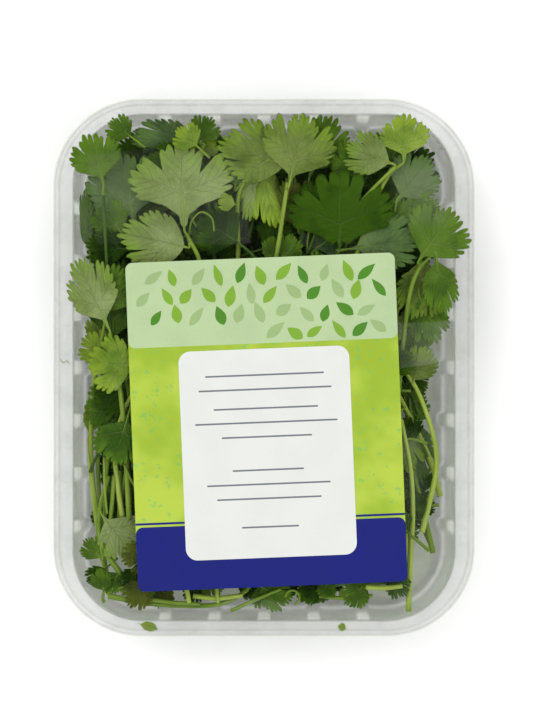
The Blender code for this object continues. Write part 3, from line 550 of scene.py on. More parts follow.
sprigs = [
    ("sprig_corner_rim", "leafMid", ((-64, -10), (-65, 16), (-67, 54), (-68, 76)),
     (((-69, 82), (-74, 99), 1.0, {"tone": 0.75, "curl": 0.0}),),
     {"stalkFinish": "stalkDark", "radius": 0.8}),
    ("sprig_left_rim", "leafPale", ((-57, -64), (-59, -26), (-62, -1), (-65, 14)),
     (((-68, 22), (-79, 46), 0.62, {"curl": 0.0, "tone": 0.4}),), {}),
    ("sprig_right_rim", "leafMid", ((54, -81), (56, -22), (61, 28), (67, 45)),
     (((68, 49), (81, 68), 0.95, {"curl": 0.0, "tone": 0.7}), ((73, 43), (76, 22), 0.55, {})), {}),
    ("sprig_twin_fan", "leafPale", ((-1, -83), (0, -26), (3, 28), (7, 58), (10, 78)),
     (((6, 86), (-20, 97), 0.75, {"top": "leafSoft", "tone": 0.55, "drop": 0.9}),
      ((12, 83), (18, 108), 0.9, {"top": "leafSoft", "tone": 0.6})), {}),
    ("sprig_top_right", "leafBright", ((28, -85), (30, -22), (37, 37), (46, 68), (54, 84)),
     (((59, 91), (59, 107), 1.05, {"tone": 0.7}),
      ((51, 87), (33, 94), 0.7, {"top": "leafPale", "tone": 0.35})), {}),
    ("sprig_broad_pale", "leafPale", ((-25, -81), (-26, -22), (-27, 28), (-27, 44), (-32, 55)),
     (((-34, 69), (-35, 95.5), 1.12, {"tone": 0.6, "hollow": 1.0, "opened": 9}),
      ((-36, 51.5), (-61, 57), 0.8, {"tone": 0.45, "drop": 0.8, "hollow": 0.3})), {}),
    ("sprig_large_dark", "leafDark", ((15, -87), (17, -26), (24, 28), (31, 44), (31, 50)),
     (((32, 56), (32, 83.5), 1.15, {"tone": 0.95, "hollow": 0.8, "opened": 8, "teeth": (5, 4, 5)}),
      ((42, 51), (67, 55), 0.7, {"top": "leafHazy", "tone": 0.6, "drop": 0.8})), {}),
    ("sprig_hanging_pair", "leafBright", ((-10, -87), (-11, -22), (-11, 44), (-11, 71), (-6, 83)),
     (((-4, 85), (-7, 61), 0.55, {"top": "leafPale", "tone": 0.55, "fold": (25, 68)}),
      ((-2, 84), (6, 60), 0.72, {"tone": 0.35, "fold": (62, 8)}),
      ((-12, 78), (-11, 90), 0.9, {"top": "leafMid", "tone": 0.8})), {}),
    ("sprig_right_shoulder", "leafMid", ((40, -83), (44, -22), (51, 28), (55, 50)),
     (((59, 74), (71, 90), 0.95, {"top": "leafHazy", "tone": 0.7}), ((60, 63), (75, 70), 0.7, {}),
      ((56, 53), (57, 73), 0.6, {"tone": 0.7})), {}),
    ("sprig_right_edge", "leafPale", ((49, -47), (52, -5), (57, 28), (62, 40), (67, 44)),
     (((69, 42), (63, 19), 0.65, {"top": "leafSoft", "tone": 0.4}),
      ((67, 27), (73, 9), 0.75, {"top": "leafMid", "tone": 0.4})), {}),
    ("sprig_left_edge", "leafMid", ((-53, -60), (-55, -26), (-59, -1), (-62, 10)),
     (((-64, 15), (-63, 47), 0.6, {}), ((-66, 5), (-76, 14), 1.0, {"top": "leafBright"})), {}),
    ("sprig_left_bright", "leafBright", ((-48, -64), (-50, -26), (-52, -5), (-55, 1)),
     (((-57, 1), (-74, 3), 1.1, {"tone": 0.45}),), {}),
    ("sprig_left_dark", "leafDark", ((-44, -81), (-46, -43), (-49, -22), (-55, -15)),
     (((-56, -14), (-77, -21), 0.95, {"top": "leafMid", "tone": 0.25}),
      ((-57, -25), (-64, -43), 0.85, {"top": "leafMid", "tone": 0.1})), {}),
    ("sprig_hazy_fan", "leafDark", ((-40, -87), (-42, -35), (-46, 16), (-50, 44), (-55, 60)),
     (((-56, 66), (-63, 91), 0.95, {"top": "leafHazy", "tone": 0.55, "hollow": 1.0}),
      ((-61, 58), (-71, 70), 0.8, {"top": "leafMid"}), ((-59, 50), (-76, 53), 0.7, {})), {}),
    ("sprig_folded", "leafDark", ((-16, -85), (-18, -14), (-21, 45), (-25, 79), (-28, 91)),
     (((-31, 95), (-57, 97), 0.6, {"top": "leafHazy", "tone": 0.4, "fold": (66, 20)}),
      ((-32, 86), (-50, 88), 0.7, {"tone": 0.1})), {}),
    ("sprig_behind_fans", "leafDark", ((9, -85), (10, -30), (12, 30), (17, 60), (20, 72)),
     (((21, 86), (28, 108), 0.95, {"top": "leafMid"}),
      ((14, 62), (10, 82), 0.75, {"top": "leafOlive", "tone": 0.6}),
      ((24, 52), (44, 66), 0.9, {"top": "leafHazy"})), {}),
    ("sprig_left_long", "leafBright",
     ((-66, -97), (-69.3, -77), (-72.4, -56), (-74, -35), (-72.6, -9), (-70, 6)),
     (((-70, 11), (-72, 24), 0.65, {}), ((-74, -27), (-71, -11), 0.4, {"start": 0.4})),
     {"stalkFinish": "stalkFresh", "radius": 1.4}),
    ("sprig_left_low", "leafMid", ((-59, -90), (-69, -75), (-70, -62), (-66, -46)),
     (((-66, -66), (-55, -80), 0.9, {"start": 0.75, "top": "leafPale"}),
      ((-70, -80), (-76, -72), 0.9, {"start": 0.4}), ((-62, -88), (-68, -95), 0.8, {"start": 0.1})), {}),
    ("stalk_left_wide", "leafBright", ((-60, -64), (-62, -50), (-63, -36), (-60, -20), (-52, -5)), (),
     {"stalkFinish": "stalkFresh"}),
    ("sprig_bottom_left", "leafMid", ((-66, -97), (-48, -100), (-27, -101), (-15, -99), (-7, -94)),
     (((-58, -93), (-44, -90), 0.8, {"start": 0.2}), ((-1, -93), (12, -99), 0.8, {})), {}),
    ("sprig_bottom_right", "leafDark", ((58, -91), (46, -91), (36, -91), (25, -93)),
     (((42, -92.5), (34.5, -101.5), 0.85, {"start": 0.4, "top": "leafMid", "tone": 0.5}),
      ((23, -94), (14, -97), 0.9, {})), {}),
    ("sprig_right_long", "leafBright", ((67, -70), (70, -58), (73, -43), (72, -30), (66, -12), (59, 0)),
     (((64, -4), (70, 9), 0.8, {"start": 0.9, "top": "leafSoft", "tone": 0.3}),),
     {"stalkFinish": "stalkFresh"}),
    ("sprig_right_cut", "leafMid", ((75, -55), (72, -43), (67, -31), (60, -17), (54, -5)),
     (((57, -25), (62, -45), 0.7, {"start": 0.75, "top": "leafPale", "tone": 0.2}),),
     {"stalkFinish": "stalkFresh"}),
    ("stalk_right_tall", "leafBright", ((61.2, -103.4), (62, -81), (63, -62), (62, -43), (58, -22)), (),
     {"stalkFinish": "stalkFresh"}),
    ("stalk_right_inner", "leafMid", ((62, -90), (60, -75), (58, -56), (55, -35)), (),
     {"stalkFinish": "stalkBright"}),
    ("stalk_right_outer", "leafMid", ((72, -79), (69, -66), (66, -54), (62, -39)), (), {}),
    ("sprig_low_1", "leafDark", ((-43.4, -88), (-45.9, -30), (-51.0, 13.1), (-53.2, 45.1)),
     (((-57.0, 46.0), (-77.6, 51.1), 0.92, {}), ((-52.6, 49.0), (-49.6, 68.7), 0.88, {}),
      ((-49.5, 46.6), (-31.0, 54.2), 0.96, {})), {}),
    ("sprig_low_2", "leafDark", ((-21.9, -88), (-23.2, -30), (-25.8, 27.1), (-23.0, 59.1)),
     (((-26.8, 60.5), (-44.1, 67.0), 0.83, {}), ((-22.4, 63.0), (-19.4, 81.4), 0.93, {}),
      ((-19.4, 60.8), (-2.9, 68.5), 0.96, {})), {}),
    ("sprig_low_3", "leafDark", ((-0.4, -88), (-0.5, -30), (-0.5, -4.3), (2.4, 27.7)),
     (((-1.0, 29.7), (-17.2, 39.1), 0.95, {}), ((3.1, 31.6), (6.2, 49.8), 0.93, {}),
      ((5.6, 30.1), (22.5, 42.8), 0.94, {})), {}),
    ("sprig_low_4", "leafDark", ((21.0, -88), (22.3, -30), (24.8, 43.0), (21.2, 75.0)),
     (((17.4, 76.2), (-1.9, 82.3), 0.92, {}), ((20.9, 79.0), (19.6, 100.1), 0.97, {}),
      ((24.5, 77.2), (40.1, 87.2), 0.93, {})), {}),
    ("sprig_low_5", "leafDark", ((42.5, -88), (45.0, -30), (50.0, 14.4), (51.3, 46.4)),
     (((47.6, 47.8), (29.6, 55.1), 0.8, {}), ((51.0, 50.3), (49.3, 69.9), 0.95, {}),
      ((54.8, 48.3), (72.7, 58.6), 0.91, {})), {}),
]
stalkFor = {"leafPale": "stalkBright", "leafBright": "stalkBright", "leafMid": "stalkMid",
            "leafDark": "stalkDark", "leafHazy": "stalkMid", "leafOlive": "stalkMid", "leafSoft": "stalkBright"}
undersideFor = {"leafPale": "leafMid", "leafBright": "leafPale", "leafMid": "leafPale",
                "leafDark": "leafHazy", "leafHazy": "leafMid", "leafOlive": "leafHazy", "leafSoft": "leafMid"}


def solidPoints(node):
    return np.array([tuple(v.co) for v in frame["nodes"][node].data.vertices], float) / mm


def heightNear(solid, place, reach=1.7):
    near = solid[np.hypot(solid[:, 0] - place[0], solid[:, 1] - place[1]) < reach]
    return float(near[:, 2].mean()) if len(near) else None


def stalkHeights(solid, stalk):
    heights = [heightNear(solid, place) for place in stalk]
    known = [n for n, z in enumerate(heights) if z is not None]
    return [z if z is not None else float(np.interp(n, known, [heights[k] for k in known]))
            for n, z in enumerate(heights)]


def bladeSurface(solid, base, tip, spread):
    # a smooth sheet through the solid's blade: heights from a weighted fit of its points
    length = math.hypot(tip[0] - base[0], tip[1] - base[1])
    heading = math.atan2(tip[1] - base[1], tip[0] - base[0])
    dx, dy = (solid[:, 0] - base[0]) / length, (solid[:, 1] - base[1]) / length
    along = dx * math.cos(heading) + dy * math.sin(heading)
    across = dx * math.sin(heading) - dy * math.cos(heading)
    inside = (np.hypot(across / spread, along) < 1.06) & (along > 0.14)
    x, y, z = across[inside], along[inside], solid[inside, 2]
    if len(x) < 12:
        level = float(solid[:, 2].max()) - 1.0
        return lambda u, v: level + 0.0 * u
    terms = np.stack([np.ones_like(x), x, y, x * x, x * y, y * y], -1)
    weight = np.ones_like(x)
    for _ in range(8):
        ridge = np.diag([0, 0.01, 0.01, 0.05, 0.05, 0.05])
        system = terms.T @ (terms * weight[:, None]) + ridge
        values = np.linalg.solve(system, terms.T @ (z * weight))
        weight = 1 / (1 + ((z - terms @ values) / 0.6) ** 2)
    return lambda u, v: (values[0] + values[1] * u + values[2] * v + values[3] * u * u
                         + values[4] * u * v + values[5] * v * v)


stalkForm = {
    "radius": 1.2, "headShare": 0.7,     # mm at the cut end, and how much of it is left at the head
    "side": (0.7, 0.22), "flare": 0.5,   # a side stalk's radii in mm, and how it widens where it leaves
    "leafStart": 0.97, "smallLeaf": 18, "sideRise": 0.2,
}


def ribUnder(base, tip, surface, stops):
    # points under a leaf's middle: share of its length and how far below, each
    line = np.array(tip, float) - np.array(base, float)
    return [np.array((*(np.array(base) + line * share), surface(0.0, share) - sunk)) for share, sunk in stops]


def buildSprig(node, finish, stalk, leaves, settings, draw):
    solid, shape, form = solidPoints(node), newShape(), stalkForm
    route = smoothRoute([(x, y, z) for (x, y), z in zip(stalk, stalkHeights(solid, stalk))], 7)
    thick = settings.get("radius", form["radius"])
    addStalk(shape, route, thick, thick * form["headShare"], settings.get("stalkFinish", stalkFor[finish]))
    for base, tip, spread, options in leaves:
        fitted = bladeSurface(solid, base, tip, spread)
        surface = lambda u, v, fitted=fitted, drop=options.get("drop", 0.0): fitted(u, v) - drop
        top = options.get("top", finish)
        length = lengthAndHeading(base, tip)[0]
        teeth = options.get("teeth", (5, 5, 5) if length < form["smallLeaf"] else (6, 6, 6))
        root = route[int(options.get("start", form["leafStart"]) * (len(route) - 1))]
        gap = math.hypot(root[0] - base[0], root[1] - base[1]) / length
        most = leafForm["openTail"] if options.get("opened") else leafForm["tail"][1]
        tail = min(max(gap * 0.85, leafForm["tail"][0]), most)
        addLeaf(shape, base, tip, spread, surface, (top, undersideFor[top]), draw, teeth=teeth,
                fine=not node.startswith("sprig_low"), tone=options.get("tone"), wave=0.010, tail=tail,
                fold=options.get("fold", (0, 0)), curl=options.get("curl", 0.08),
                hollow=options.get("hollow"), opened=options.get("opened", 0))
        heel, hub, ahead = ribUnder(base, tip, surface, ((-tail, 0.1), (0.0, 0.1), (0.2, 0.1)))
        middle = (root + heel) / 2 + np.array((0, 0, form["sideRise"]))
        addStalk(shape, smoothRoute([root, middle, heel, hub, ahead], 4), *form["side"], stalkFor[top], sides=8,
                 flare=form["flare"], cutFinish=None)
    piece = makePiece(node + "_leafy", shape)
    takeRole(piece, node)
    return piece


leafDraw = random.Random(7)
sprigPieces = [buildSprig(*sprig, leafDraw) for sprig in sprigs]
print("sprigs built:", len(sprigPieces))


# the smaller sprays and stalks that fill the pack between the sprigs

filling = {
    "seed": 23,
    "floor": 1.4,                            # mm, lowest point of a filling leaf
    "gap": 0.3,                              # mm kept between pieces
    "step": 0.8,                             # mm between the heights that are tried
    "inside": (75.5, 102),                   # mm, how far out a spray may reach
    "laneHeights": (4.0, 8.0, 12.0, 16.0),   # mm, of the stalks under the label
    "laneX": (-56, 58, 6.0),                 # mm, from, to and pitch
    "laneFoot": (-101, -84), "laneEnd": (-5, 20), "laneLean": (-5, 5), "lanePitch": (0.8, 1.2),
    "laneRadius": (0.95, 1.25), "laneTip": 0.8, "laneTries": 3,
}
placedTrees = []


def treeOf(points, faces, lift=0.0):
    return BVHTree.FromPolygons([(x, y, z + lift) for x, y, z in points], faces)


def remember(points, faces):
    placedTrees.append((np.min(points, 0), np.max(points, 0), treeOf(points, faces)))


def settled(shape, top, tries):
    # the highest lift, from top down, at which the shape is clear of all that lies there
    points = np.array(shape["points"])
    low, high = points.min(0), points.max(0)
    for number in range(tries):
        lift = top - high[2] - number * filling["step"]
        if low[2] + lift < filling["floor"]:
            return None
        near = [tree for least, most, tree in placedTrees
                if (least[:2] <= high[:2]).all() and (most[:2] >= low[:2]).all()
                and least[2] <= high[2] + lift + 1 and most[2] >= low[2] + lift - 1]
        own = [treeOf(shape["points"], shape["faces"], lift + gap)
               for gap in (-filling["gap"], filling["gap"])]
        if not any(mine.overlap(tree) for mine in own for tree in near):
            return lift
    return None


def layIn(total, shape, top, tries):
    # adds the shape where it finds room, and says whether it did
    lift = settled(shape, top, tries)
    if lift is None:
        return False
    shape["points"] = [(x, y, z + lift) for x, y, z in shape["points"]]
    remember(shape["points"], shape["faces"])
    addInto(total, shape)
    return True


def archedSheet(size, tilts, arch, lift=0.0):
    # heights in mm of a tilted leaf that sinks away from its hub
    return lambda u, v: size * (tilts[0] * v + tilts[1] * u - arch * (u * u + v * v)) + lift


for piece in sprigPieces:
    remember([tuple(v.co / mm) for v in piece.data.vertices], [tuple(f.vertices) for f in piece.data.polygons])


sprayForm = {
    # lengths are shares of the leaf length unless they say mm
    "hubBack": 0.3, "stalkLength": (0.7, 1.3), "sideLength": 0.16, "singleLength": 0.04, "tail": 0.12,
    "heights": (-1.0, -0.6, -0.2), "lift": 0.3,              # mm: the stalk's end, middle and head; the leaf
    "endSway": (4, 3), "middleSway": (1.5, 1.5),             # mm
    "radii": (0.75, 0.5), "sideRadii": (0.5, 0.3),           # mm
    "turns": {1: (0,), 2: (-28, 30), 3: (-66, 0, 66)}, "turnSway": 10,     # degrees, by the number of leaves
    "sizes": (0.8, 1.1), "outerSize": 0.85, "widths": (0.75, 1.05), "wave": 0.014,
    "tiltAlong": (-0.04, 0.06), "tiltAcross": (-0.05, 0.05), "arch": (0.02, 0.06),
    "teeth": (4, 5, 4), "rings": (0.2, 0.5, 0.8, 1.0),
}


def sprayShape(draw, place, heading, length, finish, leaves, fine):
    # a short stalk with one to three leaves at its head, level, before it is settled
    form, shape, stalk = sprayForm, newShape(), stalkFor[finish]

    def swayed(reach):
        return np.array([draw.uniform(-most, most) for most in reach])

    way = np.array((math.cos(heading), math.sin(heading)))
    head = np.array(place) - way * length * form["hubBack"]
    end = head - way * draw.uniform(*form["stalkLength"]) * length + swayed(form["endSway"])
    middle = (head + end) / 2 + swayed(form["middleSway"])
    route = [(*spot, height) for spot, height in zip((end, middle, head), form["heights"])]
    addStalk(shape, smoothRoute(route, 3), *form["radii"], stalk, sides=6)
    for turn in form["turns"][leaves]:
        angle = heading + math.radians(turn + draw.uniform(-form["turnSway"], form["turnSway"]))
        out = np.array((math.cos(angle), math.sin(angle)))
        size = length * draw.uniform(*form["sizes"]) * (form["outerSize"] if turn and leaves == 3 else 1.0)
        base = head + out * size * form["sideLength" if leaves > 1 else "singleLength"]
        tilts = draw.uniform(*form["tiltAlong"]), draw.uniform(*form["tiltAcross"])
        surface = archedSheet(size, tilts, draw.uniform(*form["arch"]), form["lift"])
        addLeaf(shape, tuple(base), tuple(base + out * size), draw.uniform(*form["widths"]), surface,
                (finish, undersideFor[finish]), draw, teeth=form["teeth"], rings=form["rings"],
                fine=fine, wave=form["wave"], tail=form["tail"])
        reach = base + out * size * form["tail"]
        joint = np.array([route[-1], (*base, surface(0, 0)), (*reach, surface(0, form["tail"]))])
        addStalk(shape, joint, *form["sideRadii"], stalk, sides=6, cutFinish=None)
    return shape


def fillRegion(draw, name, corners, pitch, top, tries, finish, size, leaves, upward, fine=True):
    # one piece of all the sprays that find room on a jittered grid of places
    (x0, y), (x1, y1) = corners
    total, made = newShape(), 0
    while y <= y1:
        x = x0 + draw.uniform(0, pitch / 2)
        while x <= x1:
            place = (x + draw.uniform(-3, 3), y + draw.uniform(-3, 3))
            heading = math.radians(90 + draw.uniform(-upward, upward))
            shape = sprayShape(draw, place, heading, draw.uniform(*size), draw.choice(finish),
                               draw.choice(leaves), fine)
            reach = np.abs(np.array(shape["points"])).max(0)
            if reach[0] < filling["inside"][0] and reach[1] < filling["inside"][1]:
                made += layIn(total, shape, top, tries)
            x += pitch
        y += pitch
    if made:
        takeRole(makePiece(name, total))
    print("  ", name, made, "sprays")


smallBits = {
    "seed": 11,
    "crumb": 7.5,            # mm, a smaller leaf is a loose crumb with no stalk
    "broad": 16,             # mm, from which a leaf has more teeth
    "tiltAlong": (-0.06, 0.10), "tiltAcross": (-0.08, 0.08), "arch": 0.04, "tail": 0.27, "curl": 0.07,
    # under a leaf's middle: share of its length and mm below it
    "rib": ((-0.8, 1.8), (-0.27, 0.1), (0.0, 0.1), (0.2, 0.1)), "ribRadii": (0.5, 0.2),
    "tries": 14, "stemEnd": 0.85,
    "leaves": (
        # base, tip, width share, height of the highest point, finish, tone, fold if any
        ((-74.0, 52), (-74.8, 79), 0.42, 35.4, "leafHazy", 1.0, 72, 60),
        ((-56.0, -17), (-77.0, -20), 1.0, 35.9, "leafMid", 0.15),
        ((-58.5, -24), (-64.0, -42), 0.95, 35.6, "leafMid", 0.05, 0, 15),
        ((-43.0, 87), (-51.0, 98), 0.6, 34.0, "leafMid", 0.6, 0, 35),
        ((-29.0, 94), (-36.5, 101), 0.95, 35.6, "leafBright", 0.5),
        ((-25.5, 90.5), (-20.5, 97), 0.8, 35.2, "leafBright", 0.3),
        ((-27.0, 97), (-22.0, 106), 1.0, 31.0, "leafMid", 0.5),
        ((-13.0, 69), (-20.0, 70.5), 0.8, 34.0, "leafBright", 0.4),
        ((56.0, 87), (46.0, 98), 0.95, 34.0, "leafMid", 0.3, 0, 20),
        ((50.0, 70), (55.0, 87), 0.95, 32.0, "leafDark", 0.4),
        ((9.0, 46.5), (12.5, 57.5), 0.8, 32.0, "leafMid", 0.6),
        ((3.0, 46), (3.0, 56), 0.6, 31.0, "leafMid", 0.6),
        ((-31.0, 57), (-22.0, 62), 0.7, 31.0, "leafMid", 0.4, 60, 0),
        ((58.0, 13), (67.0, 23), 0.75, 33.0, "leafPale", 0.4, 0, 40),
        ((58.0, -11), (67.0, 3), 0.7, 32.0, "leafMid", 0.7, 45, 20),
        ((60.0, 3), (71.0, 13), 0.65, 33.0, "leafMid", 0.5, 0, 55),
        ((55.0, -2), (62.0, 8), 0.8, 35.0, "leafDark", 0.6),
        ((-68.0, -72), (-77.0, -80), 0.8, 31.0, "leafDark", 0.6),
        ((-68.0, -86), (-75.0, -92), 0.8, 30.0, "leafDark", 0.7),
        ((-50.0, -92), (-58.0, -101), 0.85, 33.0, "leafOlive", 0.6),
        ((-48.0, -78), (-60.0, -82), 0.85, 33.0, "leafOlive", 0.4),
        ((-44.0, -92), (-45.0, -103), 0.85, 32.0, "leafOlive", 0.5),
        ((62.0, -24), (67.0, -51), 0.5, 27.0, "leafHazy", 0.9),
        ((63.0, -53), (68.0, -62), 0.5, 30.0, "leafDark", 0.6),
        ((61.0, -4), (70.0, -9), 0.7, 33.0, "leafDark", 0.8, 0, 30),
        ((-2.0, -93), (3.0, -102), 0.9, 33.0, "leafMid", 0.5),
        ((17.0, -92), (20.0, -100), 0.9, 32.0, "leafDark", 0.7),
        ((27.0, -91), (25.5, -98), 0.9, 32.0, "leafMid", 0.4),
        ((-65.0, 70), (-60.0, 80), 0.8, 30.0, "leafMid", 0.5),
        ((-69.0, 56), (-62.0, 67), 0.8, 32.0, "leafMid", 0.7, 0, 30),
        ((-57.0, 98), (-65.5, 104.5), 0.85, 36.0, "leafMid", 0.5),
        # crumbs on the flange, under the film
        ((-51.5, -108.3), (-44.6, -110.2), 0.42, 35.8, "leafBright", 0.7),
        ((34.2, -110.0), (31.2, -108.8), 0.8, 35.8, "leafBright", 0.7),
    ),
    "stems": (
        # points, radius, finish
        (((56, 85, 34.6), (50, 79.5, 34.9), (45, 74.5, 34.4), (37, 66, 30.5)), 0.7, "stalkBright"),
        (((-31.6, 56, 31), (-30.6, 61.5, 34), (-26.6, 65.5, 34.9), (-22, 63, 34.9),
          (-21, 57.5, 33)), 0.4, "stalkMid"),
        (((-67.6, -38, 30), (-67.4, -50, 30.5), (-66.4, -62, 30)), 0.55, "stalkBright"),
        (((-59, -41, 33), (-56.8, -46, 34), (-54, -51, 33.5)), 0.6, "stalkMid"),
        (((-63.5, -46, 26), (-64.5, -58, 26), (-65.5, -68, 26)), 0.9, "stalkBright"),
        (((-30, -96.6, 30), (-20, -97.6, 30.4), (-9, -96.3, 30)), 1.1, "stalkFresh"),
        (((-33, -92, 32), (-32.3, -95.5, 32), (-31.6, -99.4, 31.6)), 1.1, "stalkFresh"),
        (((-20, -92, 31), (-19.8, -95.5, 32), (-19.4, -99.4, 31.6)), 0.8, "stalkFresh"),
        (((-14, -102.9, 30), (-4, -98.4, 31), (7, -93.6, 31)), 0.8, "stalkMid"),
        (((43, -92.6, 33), (51, -93, 33.4), (58.4, -92.2, 33)), 1.1, "stalkFresh"),
        (((60.2, -62, 27), (60.4, -76, 27.4), (59.6, -90, 27)), 0.8, "stalkFresh"),
        (((-61, -44, 20), (-61.5, -60, 20), (-63, -76, 20)), 1.0, "stalkBright"),
        (((-58, -40, 24), (-60.5, -56, 23), (-61.6, -70, 23)), 0.8, "stalkMid"),
        (((-66, -36, 22), (-67.6, -52, 21), (-67.8, -70, 21)), 0.9, "stalkMid"),
        (((-71, -30, 17), (-70.6, -50, 17), (-68.8, -74, 17)), 0.9, "stalkMid"),
        (((-49, -98, 30), (-38, -99.4, 30.5), (-27, -100, 30)), 0.9, "stalkMid"),
        (((8.9, -97, 31), (10.5, -94.4, 32), (13.5, -94.6, 32), (15, -97.5, 31.5),
          (13, -100.4, 31)), 0.5, "stalkMid"),
        (((20, -96, 28), (32, -97.6, 28.5), (46, -96.6, 28)), 0.9, "stalkMid"),
        # a thread on the flange, under the film
        (((-86, 3.6, 35.2), (-84.6, 2.0, 35.3), (-83.2, 2.9, 35.3), (-82, 1.6, 35.2)), 0.16, "stalkMid"),
    ),
}


def buildSmallBits(bits):
    draw = random.Random(bits["seed"])
    total = newShape()
    for points, radius, finish in bits["stems"]:
        stem = newShape()
        addStalk(stem, smoothRoute(points, 5), radius, radius * bits["stemEnd"], finish, sides=8)
        remember(stem["points"], stem["faces"])
        addInto(total, stem)
    for base, tip, spread, top, finish, tone, *fold in bits["leaves"]:
        leaf = newShape()
        size = lengthAndHeading(base, tip)[0]
        tilts = draw.uniform(*bits["tiltAlong"]), draw.uniform(*bits["tiltAcross"])
        surface = archedSheet(size, tilts, bits["arch"])
        addLeaf(leaf, base, tip, spread, surface, (finish, undersideFor[finish]), draw,
                teeth=(4, 5, 4) if size < bits["broad"] else (6, 6, 6), tone=tone, tail=bits["tail"],
                fold=tuple(fold) or (0, 0), curl=bits["curl"])
        if size > bits["crumb"]:
            rib = smoothRoute(ribUnder(base, tip, surface, bits["rib"]), 4)
            addStalk(leaf, rib, *bits["ribRadii"], stalkFor[finish], sides=7, cutFinish=None)
        if not layIn(total, leaf, top, bits["tries"]):
            print("   no room for the small leaf at", base)
    takeRole(makePiece("smallLeaves", total))


buildSmallBits(smallBits)
print("small leaves and stems built")

fillDraw = random.Random(filling["seed"])
mixedGreens = ("leafDark", "leafDark", "leafMid")
# the deeper layers take the dark finish, which paints the shade that falls deep between the sprigs
layers = (
    # pitch, height of the highest point, tries, finishes, leaf sizes, leaf counts, turning in degrees
    (14, 34.5, 12, ("leafMid", "leafDark", "leafDark"), (14, 20), (1, 1, 2), 60),
    (13, 30, 14, mixedGreens, (15, 21), (1, 2), 70),
    (13, 26, 14, ("leafDark",), (16, 22), (1, 2), 80),
    (14, 22, 14, ("leafDark",), (16, 22), (1, 2, 3), 90),
    (14, 17, 14, ("leafDark",), (17, 23), (1, 2, 3), 120),
    (15, 11, 12, ("leafDark",), (17, 23), (1, 2), 180),
)
for number, layer in enumerate(layers):
    fillRegion(fillDraw, f"spraysLayer{number + 1}", ((-68, 0), (70, 96)), *layer, fine=number < 3)
for name, corners, *layer in (
        ("spraysLeft", ((-72, -92), (-57, 2)), 7, 28, 30, ("leafMid", "leafDark", "leafDark"),
         (10, 15), (1, 1, 2), 80),
        ("spraysRight", ((54, -70), (65, 6)), 7, 31, 30, ("leafDark", "leafMid", "leafMid"),
         (9, 13), (1, 1, 2), 80),
        ("spraysFoot", ((-58, -99), (58, -88)), 8, 30, 26, mixedGreens, (10, 14), (1, 1, 2), 150)):
    fillRegion(fillDraw, name, corners, *layer)
print("sprays settled")


def fillStalks(draw, name, finish):
    # long stalks side by side under the label, at a few heights, where they find room
    total, made = newShape(), 0
    x0, x1, pitch = filling["laneX"]
    for height in filling["laneHeights"]:
        x = x0 + draw.uniform(0, pitch)
        while x < x1:
            foot, end, lean = (draw.uniform(*filling[part]) for part in ("laneFoot", "laneEnd", "laneLean"))
            shape = newShape()
            route = smoothRoute([(x, foot, 0), (x + lean * 0.4, foot * 0.6, 0.5),
                                 (x + lean * 0.2, -20, 0.8), (x + lean, end, 0.6)], 4)
            addStalk(shape, route, draw.uniform(*filling["laneRadius"]), filling["laneTip"], finish, sides=8)
            made += layIn(total, shape, height + 2, filling["laneTries"])
            x += pitch * draw.uniform(*filling["lanePitch"])
    if made:
        takeRole(makePiece(name, total))
    print("  ", name, made, "stalks")


fillStalks(fillDraw, "stalksUnderLabel", "stalkMid")
print("stalks settled")


# the tray

trayForm = {
    "half": (89.0, 113.5), "skirtFlare": 0.7, "flangeTop": 35.0, "skirtDrop": 2.2,
    "flange": (8.2, 6.4),            # flat width at the sides and at the ends
    "outerRadius": 37.0, "rimRadius": 29.0, "draft": 2.0,
    "ribTop": 27.0, "ribFoot": 4.0, "ribDepth": 2.2, "ribWidth": 6.4, "ribFlank": 1.0,
    "sideRibs": (7, 22.5), "endRibs": (5, 21.0),
    "sheet": 0.5, "perSide": 130, "perCorner": 34,
    # rings counted from the skirt, with how strongly each is marked as rib or as drawn edge
    "ribRings": {13: 0.6, 14: 1.0, 15: 1.0, 16: 1.0, 17: 0.8, 18: 0.2}, "wallRings": (13, 24),
    "edgeRings": {2: 0.5, 3: 0.6, 6: 0.35, 7: 0.35, 11: 0.9, 12: 0.9, 13: 0.2, 14: 0.35},
}


def roundedPoint(quarter, share, half, radius, corner):
    # a point of a rounded rectangle and the way out of it
    turn = math.radians(90 * quarter)
    outward = (math.cos(turn), math.sin(turn))
    along = (-outward[1], outward[0])
    reach, run = (half[0], half[1]) if quarter % 2 == 0 else (half[1], half[0])
    if not corner:
        spot = (2 * share - 1) * (run - radius)
        return (outward[0] * reach + along[0] * spot, outward[1] * reach + along[1] * spot), outward, spot
    swing = math.radians(90 * share)
    way = (outward[0] * math.cos(swing) + along[0] * math.sin(swing),
           outward[1] * math.cos(swing) + along[1] * math.sin(swing))
    centre = (outward[0] * (reach - radius) + along[0] * (run - radius),
              outward[1] * (reach - radius) + along[1] * (run - radius))
    return (centre[0] + way[0] * radius, centre[1] + way[1] * radius), way, None


def ribAt(spot, quarter, form):
    # how far a rib stands in at this place of a straight wall, from 0 to 1
    count, pitch = form["sideRibs"] if quarter % 2 == 0 else form["endRibs"]
    for number in range(count):
        away = abs(spot - (number - (count - 1) / 2) * pitch)
        edge = form["ribWidth"] / 2
        if away < edge:
            share = min(1.0, (edge - away) / form["ribFlank"])
            return share * share * (3 - 2 * share)
    return 0.0


def trayRing(form, inset, height, rib, radius):
    points = []
    half = (form["half"][0] - inset[0], form["half"][1] - inset[1])
    for quarter in range(4):
        for corner, count in ((False, form["perSide"]), (True, form["perCorner"])):
            for n in range(count):
                share = n / count
                (x, y), way, spot = roundedPoint(quarter, share, half, radius, corner)
                if spot is not None and rib:
                    depth = ribAt(spot, quarter, form) * rib
                    x, y = x - way[0] * depth, y - way[1] * depth
                points.append((x, y, height))
    return points


